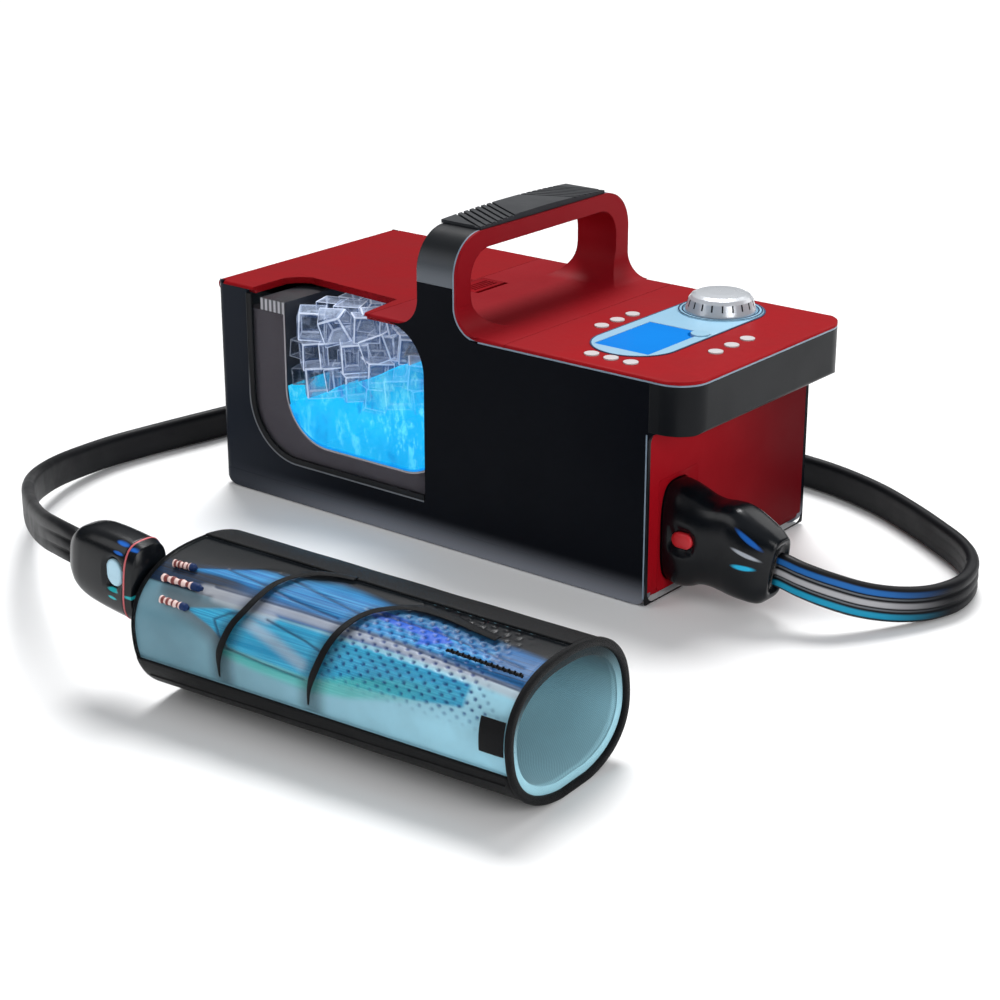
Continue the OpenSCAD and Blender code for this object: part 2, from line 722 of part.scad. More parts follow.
module rubber_feet() color("#222222") for (p = foot_spots) translate([p.x, p.y, 0])
    cylinder(r1 = foot_r - 1, r2 = foot_r, h = foot_h + foot_sunk);

module housing_screws() color("silver") for (p = screw_spots) translate([p.x, p.y, foot_h + 0.2]) difference() {
    union() {
        cylinder(r = screw_head_r, h = 1.6);
        cylinder(r = screw_r, h = 11);
    }
    translate([0, 0, -1]) cylinder(r = 1.5, h = 2, $fn = 6);
}

module water_pump() color("#2d3036") translate([pump_x, pump_y, pump_z]) difference() {
    union() {
        // volute, its foot and its two spouts
        rotate([0, 90, 0]) cylinder(r = 22, h = 18, center = true);
        block([-9, -16, -pump_z + foot_h + shell_t + fit], [9, 16, -14]);
        rotate([0, -90, 0]) cylinder(r = 6, h = 20);
        translate([0, -18, 0]) cylinder(r = 5, h = 34);
    }
    rotate([0, 90, 0]) translate([0, 0, -6]) cylinder(r = 18, h = 12);
    rotate([0, 90, 0]) cylinder(r = 2 + slide_fit, h = 20);
    rotate([0, -90, 0]) translate([0, 0, 2]) cylinder(r = 4, h = 30);
    translate([0, -18, 2]) cylinder(r = 3, h = 40);
}

module pump_impeller() color("#d8dcdf") translate([pump_x, pump_y, pump_z]) rotate([0, 90, 0]) {
    translate([0, 0, 2.5]) cylinder(r = 16.5, h = 2);
    translate([0, 0, -4.5]) cylinder(r = 5, h = 8);
    for (a = [0:60:300]) rotate(a) translate([4, -0.75, -4]) cube([11.5, 1.5, 7]);
    cylinder(r = 2, h = 16);
}

module pump_motor() color("#7d8288") translate([motor_x, pump_y, pump_z]) rotate([0, 90, 0]) difference() {
    union() {
        translate([0, 0, -8 + fit]) cylinder(r = 16, h = 38);
        translate([0, 0, 30]) cylinder(r = 6, h = 3);
    }
    translate([0, 0, -9]) cylinder(r = 2 + slide_fit, h = 10);
}

module air_pump() color("#3a3d42") translate([air_x, pump_y + 50, foot_h + shell_t + fit]) {
    block([-air_base, -13, 0], [air_base, 13, 8]);
    translate([0, 0, 7.9]) rotate([0, 0, 0]) cylinder(r = 12.5, h = 30);
    translate([0, 0, 37]) cylinder(r = 9, h = 9);
    translate([0, 0, 45]) cylinder(r = 2.5, h = 8);
}

socket_size = [34, 50];
port_dz = 15;
// Where the air, return and pressure tubes meet the valve block: side and height
valve_x = x_face - 44;
valve_ports = [[plug_y + 10, socket_z - port_dz], [plug_y - 8, socket_z], [plug_y, socket_z + port_dz]];

module hose_socket() color("#26282c") difference() {
    block([x_face - 24, plug_y - socket_size.x / 2, socket_z - socket_size.y / 2],
          [x_face - 5.5, plug_y + socket_size.x / 2, socket_z + socket_size.y / 2]);
    for (k = [-1, 0, 1]) translate([x_face - 16, plug_y, socket_z + k * port_dz]) rotate([0, 90, 0])
        cylinder(r = 3.6, h = 20);
}

module valve_block() color("#5b6066") difference() {
    block([valve_x, plug_y - 14, socket_z - 26], [x_face - 24 - fit, plug_y + 14, socket_z + 26]);
    for (p = valve_ports) translate([valve_x - 1, p[0], p[1]]) rotate([0, 90, 0]) cylinder(r = 2.5, h = 8);
}

module inner_tubes() color("#c9d6e2") {
    x_v = valve_x - fit;
    x_p = pump_x;
    y_p = pump_y - 18;
    z_p = pump_z + 34 + fit;
    air_y = valve_ports[0][0];
    return_y = valve_ports[1][0];
    // pressure tube: pump spout, across, down to the valve block
    pipe([[x_p, y_p, z_p], [x_p, y_p, z_p + 14], [x_p, plug_y, z_p + 14], [x_v - 19.7, plug_y, z_p + 14],
          [x_v - 19.7, plug_y, socket_z + port_dz], [x_v, plug_y, socket_z + port_dz]], 3.5);
    // suction tube: tank wall to the pump's inlet
    pipe([[foam_x1 + fit, pump_y, pump_z], [pump_x - 20 - fit, pump_y, pump_z]], 5);
    // return tube: valve block back to the tank
    pipe([[x_v, return_y, socket_z], [x_v - 30, return_y, socket_z], [x_v - 30, return_y, foam_top - 30],
          [foam_x1 + fit, return_y, foam_top - 30]], 3.5);
    // air tube: air pump to the valve block
    pipe([[air_x, pump_y + 50, 53.5 + foot_h + shell_t + fit], [air_x, pump_y + 50, foam_top - 22],
          [x_v - 5.7, pump_y + 50, foam_top - 22], [x_v - 5.7, air_y, foam_top - 22],
          [x_v - 5.7, air_y, socket_z - port_dz], [x_v, air_y, socket_z - port_dz]], 2.5);
}

// Tube with ball elbows through a list of points
module pipe(points, r) {
    for (i = [0:len(points) - 2]) {
        a = points[i];
        d = points[i + 1] - a;
        h = norm(d);
        translate(a) rotate([0, acos(d.z / h), atan2(d.y, d.x)]) cylinder(r = r, h = h, $fn = 24);
        if (i > 0) translate(a) sphere(r, $fn = 24);
    }
}

module control_board() color("#1f6b3a") {
    y0 = button_spots[3].y - button_r;
    y1 = y_side - 14;
    difference() {
        intersection() {
            block([split_x + 8, y0, board_z], [x_front - 12, y1, board_z + 1.6]);
            along_z(board_z - 1, board_z + 2) plan2d(shell_t + 1);
        }
        translate([plate_x, knob_y, board_z - 1]) cylinder(r = 3.2, h = 4);
    }
    // standoffs up to the cover
    for (x = [split_x + 14, x_front - 18], y = [y0 + 6, y1 - 6])
        translate([x, y, board_z + 1.5]) cylinder(r = 2.5, h = deck_under - board_z - 1.5 - fit);
    // encoder round the knob's shaft
    difference() {
        translate([plate_x - 9, knob_y - 9, board_z + 1.5]) cube([18, 18, 6.5]);
        translate([plate_x, knob_y, board_z]) cylinder(r = 3 + slide_fit, h = 20);
    }
    // switches under the buttons
    for (p = concat(button_spots, [select_spot]))
        translate([p.x - 3, p.y - 3, board_z + 1.5])
            cube([6, 6, deck_under - board_z - 1.5 - button_flange - button_travel - 0.3]);
}

// ---------------------------------------------------------------- control deck

module control_cover() color("#b01c28") difference() {
    deck_piece(split_x + fit / 2, x_front);
    translate([plate_x, plate_shift, deck_h - 2.3]) linear_extrude(5) stadium2d(plate_len + 2 * fit, plate_w + 2 * fit);
    for (p = button_spots) translate([p.x, p.y, 0]) cylinder(r = button_r + slide_fit, h = deck_h + 5);
    translate([plate_x, knob_y, 0]) cylinder(r = 3 + 2 * fit, h = deck_h);
    translate([select_spot.x, select_spot.y, 0]) cylinder(r = select_r + slide_fit, h = deck_h);
    block([plate_x - lcd_size.y / 2 - fit, lcd_y - lcd_size.x / 2 - fit, 0],
          [plate_x + lcd_size.y / 2 + fit, lcd_y + lcd_size.x / 2 + fit, deck_h]);
}

module display_plate() color("#a9d3ea") {
    difference() {
        translate([plate_x, plate_shift, deck_h - 2]) linear_extrude(2.5) stadium2d(plate_len, plate_w);
        block([plate_x - lcd_size.y / 2 - fit, lcd_y - lcd_size.x / 2 - fit, 0],
              [plate_x + lcd_size.y / 2 + fit, lcd_y + lcd_size.x / 2 + fit, deck_h + 5]);
        translate([select_spot.x, select_spot.y, 0]) cylinder(r = select_r + slide_fit, h = deck_h + 5);
        translate([plate_x, knob_y, 0]) cylinder(r = 3 + 2 * fit, h = deck_h + 5);
    }
    // raised collar round the knob
    translate([plate_x, knob_y, plate_top - 0.1]) difference() {
        cylinder(r = plate_w / 2 - 0.5, h = 0.9);
        translate([0, 0, -1]) cylinder(r = knob_r + 1.2, h = 3);
    }
}

module lcd_module() color("#2b95e8") difference() {
    union() {
        block([plate_x - lcd_size.y / 2, lcd_y - lcd_size.x / 2, deck_under - 4],
              [plate_x + lcd_size.y / 2, lcd_y + lcd_size.x / 2, plate_top - 0.2]);
        block([plate_x - lcd_size.y / 2 - 3, lcd_y - lcd_size.x / 2 - 3, deck_under - 6],
              [plate_x + lcd_size.y / 2 + 3, lcd_y + lcd_size.x / 2 + 3, deck_under - fit]);
    }
    translate([select_spot.x, select_spot.y, 0]) cylinder(r = select_r + 2.2, h = deck_h + 5);
}

module knob() color("#d5d8dc") translate([plate_x, knob_y, plate_top + 0.3]) {
    difference() {
        rotate_extrude() polygon([
            [0, 0], [knob_r, 0], [knob_r, 1.2], [knob_r - 0.8, knob_h * 0.3], [knob_r - 2.2, knob_h * 0.66],
            [knob_r - 4, knob_h * 0.84], [knob_r - 7, knob_h * 0.95], [knob_r * 0.4, knob_h * 0.99], [0, knob_h]]);
        for (a = [0:24:336]) rotate(a) translate([knob_r + 0.6, 0, knob_h * 0.35]) rotate([0, -12, 0])
            cylinder(r = 1.5, h = knob_h, $fn = 16);
    }
    translate([0, 0, board_z - plate_top + 1]) cylinder(r = 3, h = plate_top - board_z - 0.5);
}

module button(p) color("white") translate([p.x, p.y, 0]) {
    translate([0, 0, deck_under - 1]) cylinder(r = button_r, h = deck_t + 1 + button_travel);
    translate([0, 0, deck_under - 0.1 - button_flange]) cylinder(r = button_r + 1.4, h = button_flange);
}

module select_button() color("#cfe6f2") translate([select_spot.x, select_spot.y, 0]) {
    translate([0, 0, deck_under - 1]) cylinder(r = select_r, h = plate_top + 0.9 - deck_under + 1);
    translate([0, 0, deck_under - 0.1 - button_flange]) cylinder(r = select_r + 1.4, h = button_flange);
}

inlet_r = 6;
socket_r = 2.8;
inlet_at = [x_face - 40, 0, 30];

module power_inlet() color("#111111") translate([inlet_at.x, y_side - 16, inlet_at.z]) rotate([-90, 0, 0]) difference() {
    union() {
        cylinder(r = inlet_r, h = 15.6);
        cylinder(r = inlet_r + 2.5, h = 16 - shell_t - fit);
    }
    translate([0, 0, 5]) cylinder(r = socket_r, h = 20);
}

// ---------------------------------------------------------------- hose and plugs

// Closed skin over rings of points, all with the same count
module skin(rings) {
    n = len(rings[0]);
    m = len(rings);
    points = [for (ring = rings) each ring];
    sides = [for (i = [0:m - 2], j = [0:n - 1]) let (a = i * n + j, b = i * n + (j + 1) % n)
             each [[a, b, b + n], [a, b + n, a + n]]];
    polyhedron(points, concat(sides, [[for (j = [n - 1:-1:0]) j]], [[for (j = [0:n - 1]) (m - 1) * n + j]]));
}

function rounded_ring(x, y, z, half_y, up, down, n = 24, p = 3.2) = [
    for (j = [0:n - 1]) let (t = 360 * j / n, c = spow(cos(t), 2 / p), q = spow(sin(t), 2 / p))
    [x, y + half_y * c, z + (q > 0 ? up : down) * q]];

// Points pushed along x with their height above the plug's middle
function leaned(points, z, lean) = [for (q = points) [q.x + lean * (q.z - z), q.y, q.z]];

module unit_plug() color("#14161a") difference() {
    skin([for (r = plug_shape) let (z = plug_z - plug_drop * pow(r[0], 2))
          leaned(rounded_ring(plug_base + r[0] * (plug_len + plug_sunk), plug_y, z, plug_t / 2 * r[3],
                              plug_h / 2 * r[1], plug_h / 2 * r[2]), z, plug_lean * pow(r[0], 3))]);
    translate([release_at.x, plug_y - plug_t / 2 - 3, release_at.z]) rotate([-90, 0, 0])
        linear_extrude(9.5) rotate(90) stadium2d(release_size.x + 2 * fit, release_size.y + 2 * fit);
}

release_at = [x_face + 14, 0, plug_z - 0.5];
release_size = [16, 11];

module unit_release() color("#d8262c") translate([release_at.x, plug_y - plug_t / 2 - 1.4, release_at.z])
    rotate([-90, 0, 0]) linear_extrude(5.9) rotate(90) stadium2d(release_size.x, release_size.y);

// One ring of the flat hose: three lobes, standing on edge
lobe = [[0, 1], [0.96, 0.72], [0.78, 0.35], [1, 0], [0.78, -0.35], [0.96, -0.72],
        [0, -1], [-0.96, -0.72], [-0.78, -0.35], [-1, 0], [-0.78, 0.35], [-0.96, 0.72]];

function unit(v) = v / norm(v);
function hose_ring(p, d) = let (f = unit(d), side = unit(cross([0, 0, 1], f)), up = cross(f, side))
    [for (q = lobe) p + side * (q.x * hose_t / 2) + up * (q.y * hose_w / 2)];
function mid(a, b, c, d) = (-a + 9 * b + 9 * c - d) / 16;
function hose_dir(i) = i == 0 ? [1, 0, 0]
    : i == len(hose_route) - 1 ? [cos(tail_tilt), 0, -sin(tail_tilt)]
    : hose_route[i + 1] - hose_route[i - 1];

module hose() color("#1c1f24") {
    m = len(hose_route);
    skin([for (i = [0:m - 1]) each concat(
        [i == 0 ? leaned(hose_ring(hose_route[0], hose_dir(0)), hose_route[0].z, plug_lean)
                : hose_ring(hose_route[i], hose_dir(i))],
        i > 0 && i < m - 2 ? [hose_ring(mid(hose_route[i - 1], hose_route[i], hose_route[i + 1], hose_route[i + 2]),
                                        hose_route[i + 1] - hose_route[i])] : [])]);
}

function socket_ring(k) = rounded_ring(0, 0, 0, tail_t / 2 * k, tail_h / 2 * k, tail_h / 2 * k);
function tail_point(p) = tail_start + [p.x * cos(tail_tilt) + p.z * sin(tail_tilt), p.y,
                                       p.z * cos(tail_tilt) - p.x * sin(tail_tilt)];

// Frame of the wrap plug: its axis runs towards -x, tilted up by tail_tilt
module at_tail(s) translate(tail_start) rotate([0, tail_tilt, 0]) translate([-s, 0, 0]) children();

module wrap_socket() color("#3a3f45") {
    c = sleeve_point(wrap_len, tail_angle, -tail_sink);
    skin(concat(
        [[for (q = socket_ring(0.93)) turned([-wrap_len - rim_out - fit, c.y + q.y, c.z + q.z])]],
        [for (k = [0.4, 0.7, 1]) [for (q = socket_ring(0.93 + 0.07 * k)) tail_point([-k * socket_end, q.y, q.z])]]));
}

module wrap_plug_ring() color("#c8414a") at_tail(socket_end + fit / 3) translate([-ring_t, 0, 0])
    skin([for (x = [0, ring_t - 0.2]) rounded_ring(x, 0, 0, tail_t / 2 + 0.6, tail_h / 2 + 0.6, tail_h / 2 + 0.6)]);

tail_release = [10, 10];

module wrap_plug() color("#14161a") at_tail(socket_end + ring_t + fit / 2) difference() {
    skin([for (r = tail_shape) rounded_ring(-r[0] * tail_len, 0, 0, tail_t / 2 * r[2], tail_h / 2 * r[1],
                                            tail_h / 2 * r[1])]);
    translate([-9, -tail_t / 2 - 4, 0]) rotate([-90, 0, 0])
        linear_extrude(10) stadium2d(14 + 2 * fit, tail_release.x + 2 * fit);
}

module wrap_release() color("#bfe3f2") at_tail(socket_end + ring_t + fit / 2)
    translate([-9, -tail_t / 2 - 1.6, 0]) rotate([-90, 0, 0]) linear_extrude(5.4)
        stadium2d(14, tail_release.x);

// ---------------------------------------------------------------- limb sleeve

module in_sleeve() translate(wrap_at) rotate([0, 0, wrap_turn]) children();

// Curved panel of the sleeve between two growths, from s0 to s1 and t0 to t1. lean
// slides the panel along the sleeve as t grows, and ripple swells its outer face.
module panel(s0, s1, ns, t0, t1, nt, g_out, g_in, lean = 0, ripple = 0) {
    closed = t1 - t0 >= 360;
    cols = closed ? nt : nt + 1;
    function at(i, j, g) = let (t = t0 + (t1 - t0) * j / nt)
        sleeve_point(s0 + (s1 - s0) * i / ns + lean * (t - t0), t, g);
    function swell(i, j) = ripple * (cos(channels * 360 * j / nt) - 1) / 2;
    points = concat([for (i = [0:ns], j = [0:cols - 1]) at(i, j, g_out + swell(i, j))],
                    [for (i = [0:ns], j = [0:cols - 1]) at(i, j, g_in)]);
    inner = (ns + 1) * cols;
    last = closed ? cols - 1 : cols - 2;
    function next(j) = (j + 1) % cols;
    outside = [for (i = [0:ns - 1], j = [0:last]) let (a = i * cols + j, b = i * cols + next(j))
               each [[a, b, b + cols], [a, b + cols, a + cols]]];
    inside = [for (f = outside) [f[0] + inner, f[2] + inner, f[1] + inner]];
    ends = [for (j = [0:last], i = [0, ns]) let (a = i * cols + j, b = i * cols + next(j))
            each i == 0 ? [[a, a + inner, b + inner], [a, b + inner, b]]
                        : [[a, b + inner, a + inner], [a, b, b + inner]]];
    edges = closed ? [] : [for (i = [0:ns - 1], j = [0, cols - 1]) let (a = i * cols + j, b = a + cols)
            each j == 0 ? [[a, b + inner, a + inner], [a, b, b + inner]]
                        : [[a, a + inner, b + inner], [a, b + inner, b]]];
    polyhedron(points, concat(outside, inside, ends, edges));
}

module wrap_sleeve() color("#141518") in_sleeve()
    panel(0.4, wrap_len - 0.4, 6, window_t1 + 0.3, window_t0 + 359.7, 36, 0, g_fabric);

module wrap_window() color([0.6, 0.85, 0.95, 0.5]) in_sleeve()
    panel(0.4, wrap_len - 0.4, 6, window_t0, window_t1, 16, 0, g_fabric);

module wrap_bladder() color("#2b8fd0") in_sleeve()
    panel(0.8, wrap_len - 0.8, 6, 0, 360, 4 * channels, g_bladder, g_bladder - bladder_t, 0, 1.4);

module wrap_lining() color("#5d8f9c") in_sleeve()
    panel(0.4, wrap_len - 0.4, 6, 0, 360, 44, g_lining, g_bore);

module wrap_rims() color("#1d1e21") in_sleeve() {
    panel(-rim_out, 0.1, 1, 0, 360, rim_steps, rim_grow, g_bore - rim_grow);
    panel(wrap_len - 0.1, wrap_len + rim_out, 1, 0, 360, rim_steps, rim_grow, g_bore - rim_grow);
}

module wrap_bands() color("#2a2c30") in_sleeve() for (s = [wrap_len - 60, wrap_len - 130])
    panel(s, s + 5, 1, -10, 84, 14, 1.2, 0.3, -0.35);

module wrap_label() color("#0d0d0f") in_sleeve()
    panel(1, 19, 1, 8, 34, 6, 0.9, 0.3);

// ---------------------------------------------------------------- assembly

module place() translate([-origin.x, -origin.y, 0]) children();

place() base_pan();
place() side_shell_near();
place() side_shell_far();
place() rear_panel();
place() front_panel();
place() top_cover();
place() handle_band();
place() handle_grip();
place() control_cover();
place() front_band();
place() edge_bead();
place() lid();
place() lid_gasket();
place() hinge_pin();
place() latch_button();
place() insulation();
place() tank_liner();
place() side_window();
place() water();
place() ice_cubes();
place() intake_filter();
place() water_pump();
place() pump_impeller();
place() pump_motor();
place() air_pump();
place() valve_block();
place() inner_tubes();
place() control_board();
place() display_plate();
place() lcd_module();
place() knob();
place() button(button_spots[0]);  // button_1
place() button(button_spots[1]);  // button_2
place() button(button_spots[2]);  // button_3
place() button(button_spots[3]);  // button_4
place() button(button_spots[4]);  // button_5
place() button(button_spots[5]);  // button_6
place() button(button_spots[6]);  // button_7
place() button(button_spots[7]);  // button_8
place() button(button_spots[8]);  // button_9
place() select_button();
place() power_inlet();
place() rubber_feet();
place() housing_screws();
place() hose_socket();
place() unit_plug();
place() unit_release();
place() hose();
place() wrap_plug();
place() wrap_plug_ring();
place() wrap_release();
place() wrap_socket();
place() wrap_sleeve();
place() wrap_window();
place() wrap_bladder();
place() wrap_lining();
place() wrap_rims();
place() wrap_bands();
place() wrap_label();
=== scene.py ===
# %% [markdown]
# # A hot and cold therapy machine with its limb sleeve
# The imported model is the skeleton: every rigid part is already there at its real size. This lesson gives
# each part its finish, and builds the pieces that a solid can't show well: the hose, the moulded plugs,
# the ice and water in the tank, and the sewn, see-through sleeve. Loading the frame comes first, so that
# each later piece can read its place from it.

# %% Load the frame
import math
import random

import bmesh
import bpy
import numpy as np
from mathutils import Euler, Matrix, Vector


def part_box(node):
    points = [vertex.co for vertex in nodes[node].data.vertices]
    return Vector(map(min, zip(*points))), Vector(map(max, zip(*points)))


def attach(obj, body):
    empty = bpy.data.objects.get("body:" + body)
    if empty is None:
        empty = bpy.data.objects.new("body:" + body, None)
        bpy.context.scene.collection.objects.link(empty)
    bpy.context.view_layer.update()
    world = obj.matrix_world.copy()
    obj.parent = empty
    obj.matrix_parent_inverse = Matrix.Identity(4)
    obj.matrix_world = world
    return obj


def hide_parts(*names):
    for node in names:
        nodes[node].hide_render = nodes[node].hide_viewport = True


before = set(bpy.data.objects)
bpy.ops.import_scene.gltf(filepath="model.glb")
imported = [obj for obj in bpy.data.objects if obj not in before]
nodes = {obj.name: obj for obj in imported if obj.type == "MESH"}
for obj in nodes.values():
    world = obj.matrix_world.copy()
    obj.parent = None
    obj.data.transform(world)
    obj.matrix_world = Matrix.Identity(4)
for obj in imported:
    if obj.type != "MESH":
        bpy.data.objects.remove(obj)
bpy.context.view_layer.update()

# %% [markdown]
# All sizes below are millimetres from the middle of the machine's footprint, the way its drawings give
# them. The shared frame has its origin in the middle of machine and sleeve together, so one helper moves
# a point over. It finds the machine from the near shell's own corner and never needs a fitted number.

# %% Places in millimetres
HALF_LENGTH = 206.5
HALF_WIDTH = 98.0
shell_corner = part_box("side_shell_near")[0]
MIDDLE = np.array([shell_corner.x + HALF_LENGTH / 1000, shell_corner.y + HALF_WIDTH / 1000, 0.0])


def place(points):
    """Millimetres on the machine's own axes to metres in the shared frame."""
    return np.asarray(points, float) / 1000 + MIDDLE


print("machine middle:", MIDDLE.round(4).tolist())

# %% [markdown]
# The camera stands where the photograph was seen from: in front of the near corner, looking a little
# down. Turning it by angles instead of a target keeps the view exact and easy to read.

# %% Camera
CAMERA_AT = (932.3, -1198.7, 577.3)
CAMERA_TURN = 38.48
CAMERA_DOWN = 20.65
LENS = 80.25

camera = bpy.data.objects.new("camera", bpy.data.cameras.new("camera"))
bpy.context.scene.collection.objects.link(camera)
camera.location = place(CAMERA_AT)
camera.rotation_euler = Euler([math.radians(a) for a in (90 - CAMERA_DOWN, 0, CAMERA_TURN)])
camera.data.lens = LENS
camera.data.clip_end = 40
bpy.context.scene.camera = camera
print("camera at", [round(v, 3) for v in camera.location])

# %% [markdown]
# Two small helpers make meshes. A loft skins a row of closed sections, which suits hoses and moulded
# plugs. A quilt is a skin over a grid, which suits cloth. Both store a UV map, so that a finish can
# follow the length and the turn of the piece.

# %% Mesh helpers


def new_piece(name, points, faces, uv=None, body="machine"):
    """A smooth mesh piece in metres that rides on a body."""
    mesh = bpy.data.meshes.new(name)
    mesh.from_pydata([tuple(p) for p in np.asarray(points, float)], [], [tuple(f) for f in faces])
    if uv is not None:
        layer = mesh.uv_layers.new(name="UVMap")
        corners = np.zeros(len(mesh.loops), int)
        mesh.loops.foreach_get("vertex_index", corners)
        layer.data.foreach_set("uv", np.asarray(uv, float)[corners].ravel())
    mesh.update()
    mesh.shade_smooth()
    piece = bpy.data.objects.new(name, mesh)
    bpy.context.scene.collection.objects.link(piece)
    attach(piece, body)
    return piece


def ring_faces(rows, count, start=0):
    """Quads between neighbouring closed rings of count points."""
    return [(start + i * count + j, start + i * count + (j + 1) % count,
             start + (i + 1) * count + (j + 1) % count, start + (i + 1) * count + j)
            for i in range(rows - 1) for j in range(count)]


def loft(name, rings, along=None, capped=True):
    """A closed skin over rings, an array of rows by points by three, in millimetres."""
    rings = np.asarray(rings, float)
    rows, count = rings.shape[:2]
    along = np.linspace(0, 1, rows) if along is None else np.asarray(along)
    uv = np.stack([np.repeat(along, count), np.tile(np.arange(count) / count, rows)], 1)
    faces = ring_faces(rows, count)
    if capped:
        faces += [tuple(range(count))[::-1], tuple(range((rows - 1) * count, rows * count))]
    return new_piece(name, place(rings.reshape(-1, 3)), faces, uv)


def keep_mask(piece, name, values):
    """Stores one number for each point, which a material reads as a mask."""
    layer = piece.data.attributes.new(name, "FLOAT", "POINT")
    layer.data.foreach_set("value", np.asarray(values, np.float32).ravel())


def signed_power(v, p):
    """A power that keeps the sign, which squares off a circle's sine and cosine."""
    return np.sign(v) * np.abs(v) ** p


def smooth(low, high, v):
    """0 below low, 1 above high, and an even S between them."""
    x = np.clip((np.asarray(v, float) - low) / (high - low), 0, 1)
    return x * x * (3 - 2 * x)


print("mesh helpers ready")

# %% [markdown]
# The hose is three soft tubes moulded side by side: cold water out, water back, and air. It leaves the
# plug, drops to the floor, runs behind the machine and climbs into the sleeve's plug. Its route is a
# short list of chosen points, and a smooth curve through them carries one section of three round lobes.
# A bevelled curve could not show the lobes, so it is lofted.

# %% Hose route
PLUG_LEAN = 0.17
TAIL_TILT = 6.0
HOSE_ROUTE = [
    (254.5, -62, 36),
    (272, -61.5, 33), (288, -55, 28), (304, -41, 21), (319, -22, 15.5), (331, 0, 12.5),
    (338, 24, 12.5), (334, 50, 12.5), (323, 71, 12.5), (306, 89, 12.5), (282, 106, 12.5),
    (250, 126, 12.5), (212, 146, 12.5), (170, 160, 12.5), (128, 166, 12.5), (80, 168, 12.5),
    (30, 168, 12.5), (-22, 168, 12.5), (-74, 166, 12.5), (-124, 161, 12.5), (-170, 149, 12.5),
    (-210, 127, 12.5), (-242, 95, 12.5), (-263, 55, 12.5), (-275, 11, 12.5), (-284, -34, 12.5),
    (-292, -80, 12.5), (-297, -124, 13), (-292, -163, 15.5), (-278, -200, 20.5), (-255, -236, 27),
    (-223, -269, 36), (-183, -302, 47), (-142, -332, 57.5), (-101, -358, 68), (-66, -376, 76.5),
    (-31.94, -385.72, 79.62),
]
HOSE_WIDE = 24.0
TUBE_RADIUS = 4.4
STEPS = 6


def span_weights(u):
    """Shares of start, start slope, end and end slope at u on a smooth span."""
    return 2 * u**3 - 3 * u**2 + 1, u**3 - 2 * u**2 + u, 3 * u**2 - 2 * u**3, u**3 - u**2


def curve_through(points, steps, first, last):
    """Catmull-Rom curve and its directions, with chosen directions at both ends."""
    p = np.asarray(points, float)
    tangents = np.gradient(p, axis=0)
    tangents[0] = np.asarray(first) * np.linalg.norm(p[1] - p[0])
    tangents[-1] = np.asarray(last) * np.linalg.norm(p[-1] - p[-2])
    line, turn = [], []
    for a, b, ta, tb in zip(p[:-1], p[1:], tangents[:-1], tangents[1:]):
        for u in np.arange(steps) / steps:
            from_a, from_ta, from_b, from_tb = span_weights(u)
            line.append(from_a * a + from_ta * ta + from_b * b + from_tb * tb)
            turn.append((6 * u**2 - 6 * u) * (a - b) + (3 * u**2 - 4 * u + 1) * ta
                        + (3 * u**2 - 2 * u) * tb)
    return np.array(line + [p[-1]]), np.array(turn + [tangents[-1]])


def three_lobes(steps=9):
    """Outline of the flat hose: x across its thickness, y up its width."""
    pitch = HOSE_WIDE / 2 - TUBE_RADIUS
    valley = math.degrees(math.asin(pitch / 2 / TUBE_RADIUS))
    spans = [(-90, valley, -pitch), (-valley, valley, 0), (-valley, 90, pitch)]
    side = [(TUBE_RADIUS * math.cos(math.radians(a)), c + TUBE_RADIUS * math.sin(math.radians(a)))
            for lo, hi, c in spans for a in np.linspace(lo, hi, steps)[int(lo > -90):]]
    return np.array(side + [(-x, y) for x, y in side[::-1][1:-1]])


tail_turn = math.radians(TAIL_TILT)
hose_line, hose_turn = curve_through(HOSE_ROUTE, STEPS, (1, 0, 0),
                                     (math.cos(tail_turn), 0, -math.sin(tail_turn)))
section = three_lobes()
hull = np.sign(section[:, 0]) * TUBE_RADIUS * np.minimum(1, np.sqrt(np.maximum(
    1 - np.maximum((np.abs(section[:, 1]) - HOSE_WIDE / 2 + TUBE_RADIUS) / TUBE_RADIUS, 0) ** 2, 0)))
flatter = np.column_stack([section[:, 0] * 0.02 + hull * 0.98, section[:, 1]])
run = np.concatenate([[0], np.cumsum(np.linalg.norm(np.diff(hose_line, axis=0), axis=1))])
hose_rings = []
for i, (p, f) in enumerate(zip(hose_line, hose_turn)):
    f = f / np.linalg.norm(f)
    side = np.cross((0, 0, 1), f)
    side /= np.linalg.norm(side)
    up = np.cross(f, side)
    near_plug = max(1 - smooth(60, 260, run[i]), 1 - smooth(0, 90, run[-1] - run[i]))
    thick = section[:, :1] * near_plug + flatter[:, :1] * (1 - near_plug)
    ring = p + thick * side + section[:, 1:] * up
    ring[:, 0] += PLUG_LEAN * (ring[:, 2] - p[2]) * (i == 0)
    hose_rings.append(ring)
hose = loft("flat_hose", hose_rings, run / 1000)
keep_mask(hose, "lobe", np.tile(section[:, 1], len(hose_rings)))
keep_mask(hose, "run", np.repeat(run, len(section)))
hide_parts("hose")

# %% [markdown]
# The unit plug is a moulded grip for the fingers: full at the face, waisted behind the release key,
# with a shoulder to pull on and a nose that tapers to the hose. It is made like a boat's hull, from
# sections whose heights follow a table of shares, and the round dish for the key is pressed in after.

